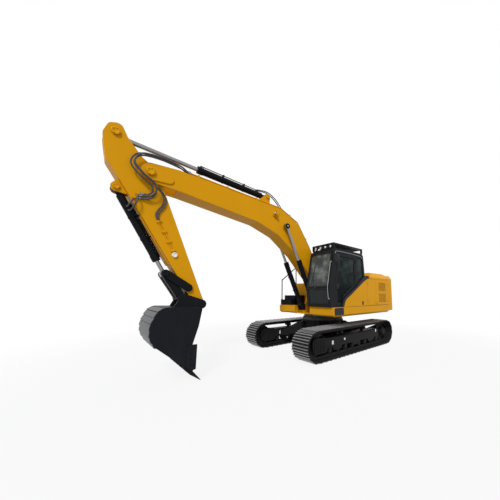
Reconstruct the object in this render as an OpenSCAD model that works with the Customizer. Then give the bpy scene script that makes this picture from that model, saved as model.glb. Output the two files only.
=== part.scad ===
// Crawler excavator of about 22 t, at rest with its bucket on the ground in front of it.
// X points forward, Y to the machine's left (cab side), Z up; the origin is on the ground on the slewing axis.
// All lengths are in millimetres and all angles in degrees.

/* [Tracks] */
// Distance between the centre lines of the two tracks
track_gauge = 2360; // [2340:10:2480]
// Width of one track shoe
shoe_width = 600; // [500:50:640]
// Distance between the sprocket axle and the idler axle
tumbler_distance = 3650; // [3500:10:3800]
// Radius of the chain's pitch line round sprocket and idler
pitch_radius = 334; // [322:1:344]
// Number of shoes on one track
shoe_count = 49; // [47:1:51]
// Height of the grousers above the shoe plate
grouser_height = 26; // [18:1:32]
// Radius of a bottom roller
roller_radius = 80; // [70:1:86]

/* [Upper structure] */
// Height of the underside of the upper frame
upper_base = 1090; // [1060:5:1120]
// Width of the upper structure
upper_width = 2720; // [2680:10:2780]
// Height of the deck that carries cab and covers
deck_height = 1370; // [1350:5:1390]
// Radius swept by the counterweight's back
tail_radius = 2940; // [2860:10:3010]
// Height of the top of the engine hood
hood_height = 2530; // [2490:5:2570]

/* [Cab] */
// Height of the cab's roof ring
cab_height = 3085; // [3040:5:3130]
// Width of the cab
cab_width = 920; // [900:5:930]
// Thickness of the cab's walls and posts
cab_wall = 46; // [40:1:55]

/* [Boom and arm] */
// Width of the boom's box section
boom_width = 460; // [440:2:468]
// Angle of the line from boom foot to boom nose at rest
boom_angle = 24.07; // [20:0.01:28]
// Length from boom foot pin to boom nose pin
boom_length = 5720; // [5650:10:5800]
// Width of the arm
arm_width = 332; // [316:2:336]
// Length from arm pivot to bucket pin
arm_length = 2920; // [2880:10:2980]
// Direction of the arm, pivot to bucket pin, at rest
arm_angle = -113.1; // [-114:0.01:-110]

/* [Bucket] */
// Width of the bucket
bucket_width = 1200; // [1000:20:1240]
// Thickness of the bucket's plates
bucket_plate = 24; // [18:1:30]
// Number of teeth on the cutting edge
tooth_count = 5; // [4:1:6]

/* [Cylinders] */
// Outer radius of a boom cylinder
boom_cylinder_radius = 74; // [66:1:76]
// Outer radius of the arm cylinder
arm_cylinder_radius = 82; // [74:1:86]
// Outer radius of the bucket cylinder
bucket_cylinder_radius = 70; // [62:1:72]

/* [Hidden] */

fit = 0.3;
pin_fit = 0.4;
hinge_half = 55;

// Tracks
chain_pitch = (2 * tumbler_distance + 2 * PI * pitch_radius) / shoe_count;
rail_inner = -50;
shoe_seat = 42;
shoe_plate = 14;
track_tip = pitch_radius + shoe_seat + shoe_plate + grouser_height;
axle_z = track_tip;
half_base = tumbler_distance / 2;
rail_low = axle_z - pitch_radius - rail_inner;
rail_high = axle_z + pitch_radius + rail_inner;
frame_low = rail_low + 2 * roller_radius + 8;
frame_top = frame_low + 262;
frame_half = 170;
frame_rear = -half_base + pitch_radius + 100;
frame_front = half_base - pitch_radius - 190;
carrier_radius = 48;
carrier_z = rail_high - carrier_radius - fit;
sprocket_teeth = 21;
loop_steps = 14;
carbody_top = upper_base - 190;

// Upper structure
side_y = upper_width / 2;
deck_front_left = 1080;
deck_front_right = 870;
deck_rear = -tail_radius + 670;
keel_half = 520;
skirt = 56;
panel = 40;
panel_top = hood_height - 240;
panel_rise = panel_top - deck_height;
house_front = -790;
house_run = house_front - deck_rear;
door_split = house_front - 0.365 * house_run;
right_split = house_front - 0.2284 * house_run;
hood_front = house_front - 0.1825 * house_run;
hood_back = deck_rear + 130;
hinge_rows = [deck_height + 110, deck_height + min(730, panel_rise - 190)];
louvre_step = panel_rise / 23;
fuel_top = panel_top - 110;
weight_top = hood_height - 45;

// Cab, from its right wall to its left wall
cab_left = side_y - 40;
cab_right = cab_left - cab_width;
cab_floor = deck_height + 12;
cab_back = -690;
cab_rise = cab_height - cab_floor;
function cab_z(share) = cab_floor + share * cab_rise;
knee_z = cab_z(0.3325);
door_rows = [cab_z(0.5206), cab_z(0.7998)];
side_sill = cab_z(0.4721);
rear_sill = cab_z(0.5752);
right_sill = cab_z(0.4235);
seat_top = cab_z(0.2718);
back_top = cab_z(0.6663);
console_top = cab_z(0.3507);
knee_x = 1200;
roof_front = 975;
sill_front = 1150;
door_hinge = -153;
hood_hinge = [hood_front + 10, panel_top + 12];

// Boom and arm
boom_half = boom_width / 2;
boom_foot = [230, 1875];
boom_nose = boom_foot + boom_length * [cos(boom_angle), sin(boom_angle)];
foot_half = boom_half + 26;
arm_half = arm_width / 2;
bucket_pin = boom_nose + arm_length * [cos(arm_angle), sin(arm_angle)];

// Pins of the bucket linkage, in the arm's own frame
idler_pin = [arm_length - 444, 128];
ear_pin = [arm_length - 298, 322];
link_pin = [arm_length - 887, 428];
bucket_cylinder_foot = [195, 634];
arm_cylinder_pin = [-800, 300];

// Pins of the boom's cylinders, in the boom's own frame
lift_pin = [2337, 1064];
arm_cylinder_foot = [3196, 1589];
lift_foot = [755, 1400];
lift_y = boom_half + 8 + 76;

bucket_angle = -86.7;

function unit(a) = [cos(a), sin(a)];
function turn(p, a) = [p.x * cos(a) - p.y * sin(a), p.x * sin(a) + p.y * cos(a)];
function out_of_boom(p) = boom_foot + turn(p, boom_angle);
function out_of_arm(p) = boom_nose + turn(p, arm_angle);
function heading(a, b) = atan2(b.y - a.y, b.x - a.x);

// Outline of a polygon [x, y, radius] with each corner rounded by an arc of n steps
function corner(a, b, c, n) =
    let (u = (a - b) / norm(a - b), v = (c - b) / norm(c - b))
    let (half = acos(max(-1, min(1, u * v))) / 2)
    let (w = (u + v) / max(1e-6, norm(u + v)))
    [half, u, v, w];
function rounded(pts, n = 6) = [
    for (i = [0 : len(pts) - 1])
        let (a = pts[(i + len(pts) - 1) % len(pts)], b = pts[i], c = pts[(i + 1) % len(pts)])
        let (k = corner([a.x, a.y], [b.x, b.y], [c.x, c.y], n), r = b[2])
        let (m = [b.x, b.y] + k[3] * r / sin(k[0]))
        let (t0 = [b.x, b.y] + k[1] * r / tan(k[0]), t1 = [b.x, b.y] + k[2] * r / tan(k[0]))
        let (a0 = heading(m, t0), d = (heading(m, t1) - a0 + 540) % 360 - 180)
        for (j = [0 : (r > 0 ? n : 0)])
            r > 0 ? m + r * unit(a0 + d * j / n) : [b.x, b.y]
];

// Outline that wraps two circles
function capsule(a, ra, b, rb, n = 10) =
    let (h = heading(a, b), k = acos((ra - rb) / norm(b - a)))
    concat([for (i = [0 : n]) a + ra * unit(h + k + (360 - 2 * k) * i / n)],
        [for (i = [0 : n]) b + rb * unit(h - k + 2 * k * i / n)]);

// Extrudes an outline drawn in X and Z from y0 to y1
module slab(y0, y1) {
    translate([0, y1, 0]) rotate([90, 0, 0]) linear_extrude(y1 - y0) children();
}

// The same on both sides of the centre plane
module slabs(y0, y1) {
    slab(y0, y1) children();
    slab(-y1, -y0) children();
}

module rod_y(p, y0, y1, r) {
    translate([p.x, y1, p.y]) rotate([90, 0, 0]) cylinder(h = y1 - y0, r = r);
}

module box(x0, x1, y0, y1, z0, z1) {
    translate([x0, y0, z0]) cube([x1 - x0, y1 - y0, z1 - z0]);
}

// One half of an upright hinge: a knuckle on its pin line and a leaf that runs to x1 and y1
module knuckle(x, y, x1, y1, z, h) {
    translate([x, y, z]) cylinder(h = h, r = 8);
    box(min(x, x1), max(x, x1), min(y, y1), max(y, y1), z, z + h);
}

// Moving and fixed halves stand on each other, so the pair is as high as both
module moving_half(x, y, x1, y1) {
    for (z = hinge_rows) knuckle(x, y, x1, y1, z, hinge_half);
}

module fixed_half(x, y, x1, y1) {
    for (z = hinge_rows) knuckle(x, y, x1, y1, z + hinge_half + fit, hinge_half);
}

module in_boom() {
    translate([boom_foot.x, 0, boom_foot.y]) rotate([0, -boom_angle, 0]) children();
}

module in_arm() {
    translate([boom_nose.x, 0, boom_nose.y]) rotate([0, -arm_angle, 0]) children();
}

module in_bucket() {
    translate([bucket_pin.x, 0, bucket_pin.y]) rotate([0, -bucket_angle, 0]) children();
}

// A frame whose X runs from one pin to the next
module along(a, b) {
    translate([a.x, 0, a.y]) rotate([0, -heading(a, b), 0]) children();
}

// Both tracks' places: children are drawn for the left track about its own centre line
module on_left() {
    translate([0, track_gauge / 2, 0]) children();
}

module on_both() {
    on_left() children();
    mirror([0, 1, 0]) on_left() children();
}

// Place on the chain's loop: angle of the outward normal and the centre it turns about
arc_run = PI * pitch_radius;
function loop_angle(s) =
    s < tumbler_distance ? 90
    : s < tumbler_distance + arc_run ? 90 - (s - tumbler_distance) / pitch_radius * 180 / PI
    : s < 2 * tumbler_distance + arc_run ? -90
    : -90 - (s - 2 * tumbler_distance - arc_run) / pitch_radius * 180 / PI;
function loop_centre(s) =
    s < tumbler_distance ? [s - half_base, axle_z]
    : s < tumbler_distance + arc_run ? [half_base, axle_z]
    : s < 2 * tumbler_distance + arc_run ? [half_base - (s - tumbler_distance - arc_run), axle_z]
    : [-half_base, axle_z];
function chain_pin(s) = loop_centre(s) + pitch_radius * unit(loop_angle(s));
function shoe_point(k, along, h) =
    let (a = chain_pin(k * chain_pitch), b = chain_pin((k + 1) % shoe_count * chain_pitch))
    let (t = (b - a) / norm(b - a))
    (a + b) / 2 + along * norm(b - a) / chain_pitch * t + h * [-t.y, t.x];
function oval(r, n = loop_steps) = concat(
    [for (i = [0 : n]) [half_base, axle_z] + r * unit(90 - 180 * i / n)],
    [for (i = [0 : n]) [-half_base, axle_z] + r * unit(-90 - 180 * i / n)]);

// Each shoe in section: plate with three grousers
shoe_half = chain_pitch / 2 - 1.5;
plate_h = shoe_seat + shoe_plate;
tip_h = plate_h + grouser_height;
shoe_section = [[-shoe_half, plate_h], [-shoe_half + 10, tip_h], [-shoe_half + 24, tip_h],
    [-shoe_half + 40, plate_h + 2], [-18, plate_h + 2], [-8, tip_h - 4], [8, tip_h - 4], [18, plate_h + 2],
    [shoe_half - 40, plate_h + 2], [shoe_half - 24, tip_h], [shoe_half - 10, tip_h], [shoe_half, plate_h]];

module track() {
    outer = [for (k = [0 : shoe_count - 1]) for (p = shoe_section) shoe_point(k, p.x, p.y)];
    inner = [for (k = [0 : shoe_count - 1]) for (e = [-1, 1]) shoe_point(k, e * shoe_half, shoe_seat)];
    n = len(outer);
    ring = [[for (i = [0 : n - 1]) i], [for (i = [0 : len(inner) - 1]) n + i]];
    slab(-shoe_width / 2, shoe_width / 2) polygon(concat(outer, inner), ring);
    rail = oval(pitch_radius + shoe_seat + 4);
    bore = oval(pitch_radius + rail_inner);
    m = len(rail);
    loop = [[for (i = [0 : m - 1]) i], [for (i = [0 : m - 1]) m + i]];
    for (s = [-1, 1])
        slab(s * 95 - 20, s * 95 + 20) polygon(concat(rail, bore), loop);
}

module track_left() {
    color("#2b2b2d") on_left() track();
}

module track_right() {
    color("#2b2b2d") mirror([0, 1, 0]) on_left() track();
}

module sprocket() {
    tip = pitch_radius + 12;
    root = pitch_radius - 24;
    step = 360 / sprocket_teeth;
    teeth = [for (i = [0 : sprocket_teeth - 1]) for (k = [[-0.42, root], [-0.16, tip], [0.16, tip], [0.42, root]])
        [-half_base, axle_z] + k[1] * unit((i + k[0]) * step)];
    slab(-35, 35) polygon(teeth);
    rod_y([-half_base, axle_z], -130 + fit, 60, 175);
    rod_y([-half_base, axle_z], 59, 130, 150);
    rod_y([-half_base, axle_z], 129, 168, 112);
    for (i = [0 : 9])
        rod_y([-half_base, axle_z] + 205 * unit(i * 36), -50, 52, 20);
}

module sprockets() {
    color("#3a3a3c") on_both() sprocket();
}

module idler() {
    tread = (pitch_radius + rail_inner) * cos(90 / loop_steps) - fit;
    difference() {
        union() {
            rod_y([half_base, axle_z], -116, 116, tread);
            rod_y([half_base, axle_z], -70, 70, tread + 22);
        }
        for (s = [-1, 1])
            rod_y([half_base, axle_z], s * 116 - 36, s * 116 + 36, tread - 50);
    }
    rod_y([half_base, axle_z], -140 + fit, 140 - fit, 90);
}

module idlers() {
    color("#3a3a3c") on_both() idler();
}

module rollers() {
    run = frame_front - frame_rear - 2 * roller_radius - 40;
    color("#38383a") on_both() {
        for (i = [0 : 7]) {
            x = frame_rear + roller_radius + 20 + run * i / 7;
            rod_y([x, rail_low + roller_radius + fit], -125, 125, roller_radius);
            for (s = [-1, 1]) {
                rod_y([x, rail_low + roller_radius + fit], s * 140 - 16, s * 140 + 16, 52);
                box(x - 46, x + 46, s * 140 - 15, s * 140 + 15, rail_low + roller_radius, frame_low - fit);
            }
        }
        for (x = [-620, 620]) {
            rod_y([x, carrier_z], -125, 125, carrier_radius);
            rod_y([x, carrier_z], -60, 60, carrier_radius + 6);
        }
    }
}

module track_frame() {
    h = frame_half;
    difference() {
        union() {
            translate([frame_rear, 0, 0]) rotate([90, 0, 90]) linear_extrude(frame_front - frame_rear)
                polygon([[-h, frame_low], [h, frame_low], [h, frame_top - 22], [h - 26, frame_top],
                    [26 - h, frame_top], [-h, frame_top - 22]]);
            for (s = [-1, 1])
                slab(s * (h - 15) - 15, s * (h - 15) + 15)
                    polygon(rounded([[frame_front - 200, frame_low + 10, 10], [frame_front + 30, frame_low + 8, 40],
                        [frame_front + 90, axle_z - 228, 50], [half_base + 60, axle_z - 228, 110],
                        [half_base + 110, axle_z + 214, 110], [frame_front - 200, frame_top - 26, 10]]));
            slab(-h, -h + 40)
                polygon(rounded([[frame_rear + 45, frame_low, 10], [frame_rear + 300, frame_top - 26, 10],
                    [-half_base - 60, axle_z + 215, 120], [-half_base - 215, axle_z, 150],
                    [-half_base - 60, axle_z - 215, 120]]));
            for (x = [-620, 620])
                box(x - 40, x + 40, -30, 30, frame_top - 40, carrier_z - carrier_radius - 6 - fit);
            for (x = [-900, 0, 900])
                translate([x, 0, 0]) box(-190, 190, h - 12, h, frame_low - 88, frame_low + 5);
        }
        rod_y([half_base, axle_z], -h - 10, h + 10, 46);
    }
}

module track_frames() {
    color("#333335") on_both() track_frame();
}

// Legs from the centre drum to the inner faces of the track frames
module carbody() {
    face = track_gauge / 2 - frame_half - fit;
    color("#39393b") difference() {
        union() {
            translate([0, 0, 470]) cylinder(h = carbody_top - 470, r = 640);
            translate([0, 0, carbody_top - 40]) cylinder(h = 40, r = 720);
            box(-720, 720, -420, 420, 440, 500);
            for (sx = [-1, 1]) for (sy = [-1, 1]) hull() {
                box(sx * 440 - 250, sx * 440 + 250, sy * 420 - 60, sy * 420 + 60, 470, 820);
                box(sx * 880 - 230, sx * 880 + 230, sy * (face - 20) - 20, sy * (face - 20) + 20,
                    frame_low + 10, frame_low + 160);
            }
            for (s = [-1, 1])
                translate([s * 720, 0, 440]) cylinder(h = 60, r = 110);
        }
        for (s = [-1, 1])
            translate([s * 750, 0, 400]) cylinder(h = 160, r = 38);
    }
}

module swing_ring() {
    color("#4a4a4c") rotate_extrude()
        polygon([[510, carbody_top], [690, carbody_top], [690, carbody_top + 70], [650, carbody_top + 80],
            [650, upper_base - fit], [510, upper_base - fit]]);
}

// One deck, hollow from below, with a sloping lower edge at its side and front
module deck_block(x0, x1, t) {
    intersection() {
        translate([x0 + t, 0, 0]) rotate([90, 0, 90]) linear_extrude(x1 - x0 - 2 * t)
            polygon([[keel_half + t, upper_base - t], [side_y - skirt - t, upper_base - t],
                [side_y - t, upper_base + skirt], [side_y - t, deck_height - t], [keel_half + t, deck_height - t]]);
        slab(0, 2 * side_y) polygon([[x0, upper_base - 2 * t], [x1 - skirt - t, upper_base - 2 * t],
            [x1 - t, upper_base + skirt], [x1 - t, deck_height], [x0, deck_height]]);
    }
}

module deck(x0, x1) {
    difference() {
        deck_block(x0, x1, 0);
        deck_block(x0, x1, 14);
    }
}

module decks() {
    color("#d99a12") {
        deck(deck_rear, deck_front_left);
        box(lift_foot.x + 20, deck_front_left, lift_y + 111, keel_half + 14, upper_base + skirt, deck_height);
        mirror([0, 1, 0]) deck(deck_rear, deck_front_right);
    }
}

// Centre keel with boom brackets and the ears of the boom cylinders
module upper_frame() {
    bracket = rounded([[-1150, upper_base + 20, 0], [600, upper_base + 20, 0], [600, 1400, 120],
        [boom_foot.x + 185, boom_foot.y + 30, 160], [boom_foot.x + 20, boom_foot.y + 180, 150],
        [boom_foot.x - 170, boom_foot.y + 80, 150], [-420, 1560, 200], [-1150, 1400, 60]]);
    ear = capsule(lift_foot, 95, [640, 1240], 150);
    color("#d99a12") difference() {
        union() {
            box(deck_rear, 760, -keel_half + fit, keel_half - fit, upper_base, upper_base + 40);
            slabs(foot_half + 3, foot_half + 43) polygon(bracket);
            box(-700, -660, -foot_half - 10, foot_half + 10, upper_base + 20, 1420);
            slabs(foot_half + 3, foot_half + 43)
                polygon([[-1140, upper_base + 20], [-1140, upper_base + 130], [deck_rear, upper_base + 130],
                    [deck_rear, upper_base + 20]]);
            for (s = [-1, 1]) {
                slab(s * lift_y - 70, s * lift_y - 48) polygon(ear);
                slab(s * lift_y + 48, s * lift_y + 70) polygon(ear);
                box(560, 700, s * lift_y - 70, s * lift_y + 70, upper_base, 1200);
            }
        }
        rod_y(boom_foot, -500, 500, 62);
        for (s = [-1, 1])
            rod_y(lift_foot, s * lift_y - 90, s * lift_y + 90, 46);
    }
    color("#8b8d90") {
        rod_y(boom_foot, -foot_half - 60, foot_half + 60, 62 - pin_fit);
        for (s = [-1, 1])
            rod_y(lift_foot, s * lift_y - 74, s * lift_y + 74, 46 - pin_fit);
    }
}

module counterweight() {
    front = deck_rear - fit;
    color("#d99a12") for (s = [-1, 1])
        fixed_half(deck_rear + 4, s * (side_y + 8), front - 60, s * (side_y - 20));
    color("#d99a12") intersection() {
        slab(-side_y + 15, side_y - 15) polygon(rounded([[front, upper_base + 60, 0],
            [-tail_radius + 120, upper_base + 60, 60], [-tail_radius, upper_base + 180, 60],
            [-tail_radius, hood_height - 430, 240], [-tail_radius + 170, weight_top, 140], [front, weight_top, 0]]));
        cylinder(h = 4000, r = tail_radius - 5);
        translate([-tail_radius - 50, 0, 0]) rotate([90, 0, 90]) linear_extrude(tail_radius)
            polygon([[15 - side_y, upper_base], [side_y - 15, upper_base], [side_y - 15, panel_top + 60],
                [side_y - 165, hood_height], [165 - side_y, hood_height], [15 - side_y, panel_top + 60]]);
    }
}

module engine() {
    back = deck_rear + 0.081 * house_run;
    front = house_front - 0.378 * house_run;
    color("#5a5c5e") {
        box(back, front, -keel_half + 15, keel_half - 15, upper_base + 140, panel_top - 240);
        for (x = [back + 100, front - 100]) for (y = [-440, 440])
            box(x - 60, x + 60, y - 60, y + 60, upper_base + 40 + fit, upper_base + 141);
    }
}

// Wall behind the cab with the narrow fixed roof ahead of the hood
module bulkhead() {
    color("#d99a12") {
        difference() {
            box(house_front - 30, house_front, -side_y + 45, side_y - 45, deck_height + fit, panel_top);
            box(house_front - 40, house_front + 10, -foot_half - 50, foot_half + 50, deck_height, deck_height + 150);
        }
        box(hood_front - 100, house_front, -side_y + 45, side_y - 45, panel_top - 30, panel_top);
        box(right_split + 8, house_front, -side_y, -side_y + 46, deck_height + fit, panel_top);
        for (y = [-700, 700]) {
            rod_y(hood_hinge, y + 60 + fit, y + 120, 10);
            box(hood_hinge.x - 9, hood_hinge.x + 9, y + 60 + fit, y + 120, panel_top - 5, hood_hinge.y);
        }
    }
}

module left_cover() {
    out = rounded([[575, deck_height + fit, 0], [548, deck_height + 80, 40], [470, deck_height + 220, 60],
        [-560, deck_height + min(820, panel_rise - 100), 120],
        [house_front + 6, panel_top, 40], [house_front + 6, deck_height + fit, 0]]);
    color("#d99a12") {
        slab(cab_left + 6, side_y) polygon(out);
        fixed_half(house_front + 2, side_y + 8, house_front + 50, side_y - 1);
    }
}

module left_door_front() {
    color("#d99a12") {
        slab(side_y - panel, side_y)
            polygon(rounded([[house_front - 2, deck_height + 8, 20], [house_front - 2, panel_top - 4, 20],
                [door_split, panel_top - 4, 20], [door_split, deck_height + 8, 20]]));
        moving_half(house_front + 2, side_y + 8, house_front - 50, side_y - 1);
    }
}

module left_door_rear() {
    color("#d99a12") difference() {
        union() {
            slab(side_y - panel, side_y)
                polygon(rounded([[door_split - 8, deck_height + 8, 20], [door_split - 8, panel_top - 4, 20],
                    [deck_rear + 6, panel_top - 4, 20], [deck_rear + 6, deck_height + 8, 20]]));
            moving_half(deck_rear + 4, side_y + 8, deck_rear + 60, side_y - 1);
        }
        for (k = [0 : 7]) for (g = [0, 1])
            translate([0, 0, deck_height + 110 + (g * 10 + k) * louvre_step])
                box(deck_rear + 0.128 * house_run, deck_rear + 0.48 * house_run, side_y - panel - 10, side_y + 10,
                    0, louvre_step / 2);
    }
}

module right_door() {
    color("#d99a12") {
        slab(-side_y, -side_y + panel)
            polygon(rounded([[right_split, deck_height + 8, 20], [right_split, panel_top - 4, 20],
                [deck_rear + 6, panel_top - 4, 20], [deck_rear + 6, deck_height + 8, 20]]));
        moving_half(deck_rear + 4, -side_y - 8, deck_rear + 60, -side_y + 1);
    }
}

// Raised lid over the engine, hollow from below
module hood() {
    wide = side_y - 20;
    section = [[-wide, panel_top + 4], [-wide, panel_top + 60], [-wide + 140, hood_height], [wide - 140, hood_height],
        [wide, panel_top + 60], [wide, panel_top + 4]];
    inside = [[-wide + 30, panel_top - 10], [-wide + 30, panel_top + 50], [-wide + 150, hood_height - 26],
        [wide - 150, hood_height - 26], [wide - 30, panel_top + 50], [wide - 30, panel_top - 10]];
    color("#d99a12") difference() {
        intersection() {
            translate([deck_rear + 6, 0, 0]) rotate([90, 0, 90])
                linear_extrude(hood_front - deck_rear - 6) polygon(section);
            slab(-2000, 2000) polygon([[hood_front, panel_top], [hood_front, panel_top + 60], [hood_front - 130, hood_height],
                [hood_back, hood_height], [deck_rear + 6, hood_height - 30], [deck_rear + 6, panel_top]]);
        }
        intersection() {
            translate([deck_rear + 30, 0, 0]) rotate([90, 0, 90])
                linear_extrude(hood_front - 170 - deck_rear) polygon(inside);
            slab(-2000, 2000) polygon([[hood_front - 40, panel_top - 20], [hood_front - 140, hood_height - 26],
                [hood_back, hood_height - 26],
                [deck_rear + 20, hood_height - 58], [deck_rear + 20, panel_top - 20]]);
        }
    }
    color("#d99a12") for (y = [-700, 700]) {
        rod_y(hood_hinge, y, y + 60, 10);
        box(hood_front - 20, hood_hinge.x, y, y + 60, panel_top + 6, panel_top + 16);
    }
}

module tank(x0, x1, top) {
    translate([0, 0, deck_height + fit]) linear_extrude(top - deck_height)
        polygon(rounded([[x0, -side_y + 5, 50], [x1, -side_y + 5, 50], [x1, -560, 50], [x0, -560, 50]]));
}

module fuel_tank() {
    color("#d99a12") {
        tank(-330, 130, fuel_top);
        translate([-100, -960, fuel_top - 10]) cylinder(h = 60, r = 60);
    }
}

module hydraulic_tank() {
    color("#d99a12") {
        tank(house_front + 3, -345, panel_top);
        translate([-570, -960, panel_top - 10]) cylinder(h = 50, r = 90);
    }
}

module tool_box() {
    color("#2c2d2f") {
        difference() {
            translate([0, 0, deck_height + fit]) linear_extrude(350)
                polygon(rounded([[145, -side_y + 5, 20], [850, -side_y + 5, 60], [850, -760, 20], [145, -760, 20]]));
            box(640, 900, -side_y - 20, -700, deck_height + 190, deck_height + 500);
        }
    }
}

module bar(a, b, r) {
    d = b - a;
    translate(a) rotate([0, acos(d.z / norm(d)), atan2(d.y, d.x)]) cylinder(h = norm(d), r = r);
    translate(b) sphere(r = r + 3);
}

module handrails() {
    y = -side_y + 40;
    color("#242527") {
        bar([800, y, deck_height + 190 + fit], [800, y, 2300], 18);
        bar([800, y, 2300], [150, y, 2790], 18);
        bar([150, y, 2790], [80, y, 2780], 18);
        bar([80, y, 2780], [80, y, fuel_top + fit + 26], 18);
        translate([80, y, fuel_top + 2 * fit]) cylinder(h = 30, r = 30);
        translate([800, y, deck_height + 190 + fit]) cylinder(h = 12, r = 36);
    }
}

// Side outline of the cab, moved inward by t
function cab_side(t) = rounded([[cab_back + t, cab_floor + t, 40], [sill_front - t, cab_floor + t, 40],
    [knee_x - t, knee_z, 160], [roof_front - t, cab_height - t, 60], [cab_back + 60 + t, cab_height - t, 60],
    [cab_back + t, cab_z(0.6784), 200]]);
function front_at(z) = z < knee_z ? sill_front + (knee_x - sill_front) * (z - cab_floor) / (knee_z - cab_floor)
    : knee_x + (roof_front - knee_x) * (z - knee_z) / (cab_height - knee_z);

// Door outline, with its lower rear corner cut along the sloping cover
function door_outline(t) = rounded([[880 - t, cab_floor + 40 + t, 50], [front_at(knee_z) - 290 - t, knee_z, 200],
    [790 - t, cab_height - 110 - t, 60], [-150 + t, cab_height - 110 - t, 60], [-150 + t, cab_z(0.3811) + t * 0.6, 40],
    [500 + t * 0.4, cab_z(0.1566) + t, 60], [560 + t, cab_floor + 40 + t, 30]]);

module cab_frame() {
    mid = (cab_left + cab_right) / 2;
    color("#2a2b2d") difference() {
        slab(cab_right, cab_left) polygon(cab_side(0));
        slab(cab_right + cab_wall, cab_left - cab_wall) polygon(cab_side(cab_wall));
        slab(cab_left - cab_wall - 20, cab_left + 20) polygon(door_outline(-6));
        slab(cab_left - cab_wall - 20, cab_left + 20) polygon(rounded([[-250, side_sill, 30], [-250, cab_height - 130, 60],
            [cab_back + 130, cab_height - 130, 60], [cab_back + 90, rear_sill, 60]]));
        slab(cab_right - 20, cab_right + cab_wall + 20) polygon(rounded([[cab_back + 120, right_sill, 50],
            [front_at(right_sill) - 130, right_sill, 50], [front_at(cab_height - 140) - 110, cab_height - 140, 60],
            [cab_back + 140, cab_height - 140, 60]]));
        box(cab_back - 50, cab_back + 140, cab_right + 90, cab_left - 90, rear_sill, cab_height - 130);
        slab(cab_right + 70, cab_left - 70) polygon([[front_at(knee_z + 30) - 90, knee_z + 30],
            [front_at(knee_z + 30) + 60, knee_z + 30], [front_at(cab_height - 90) + 60, cab_height - 90],
            [front_at(cab_height - 90) - 90, cab_height - 90]]);
        slab(cab_right + 70, cab_left - 70) polygon([[1050, cab_floor + 90], [1250, cab_floor + 90],
            [1250, knee_z - 30], [1050, knee_z - 30]]);
        translate([150, mid, cab_height - 200]) linear_extrude(400)
            square([620, cab_width - 260], center = true);
    }
    color("#2a2b2d") {
        for (z = door_rows)
            knuckle(door_hinge, cab_left + 8, door_hinge - 50, cab_left - 1, z + hinge_half + fit, hinge_half);
        for (x = [cab_back + 150, sill_front - 250]) for (y = [cab_right + 120, cab_left - 120])
            translate([x, y, deck_height + fit]) cylinder(h = cab_floor - deck_height + 5, r = 70);
    }
}

module cab_roof() {
    color("#2f3032") translate([0, 0, cab_height + fit]) linear_extrude(44)
        polygon(rounded([[cab_back + 40, cab_right + 20, 60], [roof_front - 20, cab_right + 20, 90],
            [roof_front - 20, cab_left - 20, 90], [cab_back + 40, cab_left - 20, 60]]));
}

// One plate of glass in the slope of the cab's front
module pane(z0, z1) {
    slab(cab_right + 70 + fit, cab_left - 70 - fit) polygon([[front_at(z0) - 26, z0], [front_at(z0) - 18, z0],
        [front_at(z1) - 18, z1], [front_at(z1) - 26, z1]]);
}

module windshield() {
    color("#6f7f7c") {
        pane(knee_z + 30 + fit, cab_height - 90 - fit);
        pane(cab_floor + 90 + fit, knee_z - 30 - fit);
    }
}

module cab_glass() {
    color("#6f7f7c") {
        slab(cab_left - cab_wall / 2 - 4, cab_left - cab_wall / 2 + 4) polygon(rounded([[-250 - fit, side_sill + fit, 30],
            [-250 - fit, cab_height - 130 - fit, 60], [cab_back + 130 + fit, cab_height - 130 - fit, 60],
            [cab_back + 90 + fit, rear_sill + fit, 60]]));
        slab(cab_right + cab_wall / 2 - 4, cab_right + cab_wall / 2 + 4)
            polygon(rounded([[cab_back + 120 + fit, right_sill + fit, 50], [front_at(right_sill) - 130 - fit, right_sill + fit, 50],
                [front_at(cab_height - 140) - 110 - fit, cab_height - 140 - fit, 60],
                [cab_back + 140 + fit, cab_height - 140 - fit, 60]]));
        box(cab_back + 26, cab_back + 34, cab_right + 90 + fit, cab_left - 90 - fit, rear_sill + fit, cab_z(0.672));
    }
}

module cab_door() {
    color("#2a2b2d") difference() {
        slab(cab_left - cab_wall + 3, cab_left) polygon(door_outline(0));
        slab(cab_left - cab_wall - 20, cab_left + 20) polygon(door_outline(70));
    }
    color("#2a2b2d") for (z = door_rows)
        knuckle(door_hinge, cab_left + 8, door_hinge + 50, cab_left - 1, z, hinge_half);
}

module door_glass() {
    color("#6f7f7c") slab(cab_left - cab_wall / 2 - 4, cab_left - cab_wall / 2 + 4) polygon(door_outline(70 + fit));
}

module roof_guard() {
    z = cab_height + 44 + 2 * fit;
    top = z + 165;
    x0 = cab_back + 60;
    x1 = roof_front - 40;
    y0 = cab_right + 30;
    y1 = cab_left - 20;
    color("#232426") {
        difference() {
            box(x0, x1, y0, y1, top - 40, top);
            for (i = [0 : 10])
                box(x0 + 60 + (x1 - x0 - 120) * i / 11 + 16, x0 + 60 + (x1 - x0 - 120) * (i + 1) / 11,
                    y0 + 50, y1 - 50, top - 60, top + 20);
        }
        for (x = [x0, x1 - 60]) for (y = [y0, y1 - 50])
            box(x, x + 60, y, y + 50, z, top - 30);
    }
}

// Four work lamps on the roof under the guard's front edge
module cab_lights() {
    z = cab_height + 44 + 2 * fit;
    x = roof_front - 130;
    step = (cab_width - 320) / 3;
    color("#d8d8d4") for (i = [0 : 3]) translate([x, cab_right + 160 + i * step, z]) {
        translate([0, 0, 72]) rotate([0, 90, 0]) cylinder(h = 66, r = 46);
        box(12, 52, -18, 18, 0, 40);
    }
}

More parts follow.
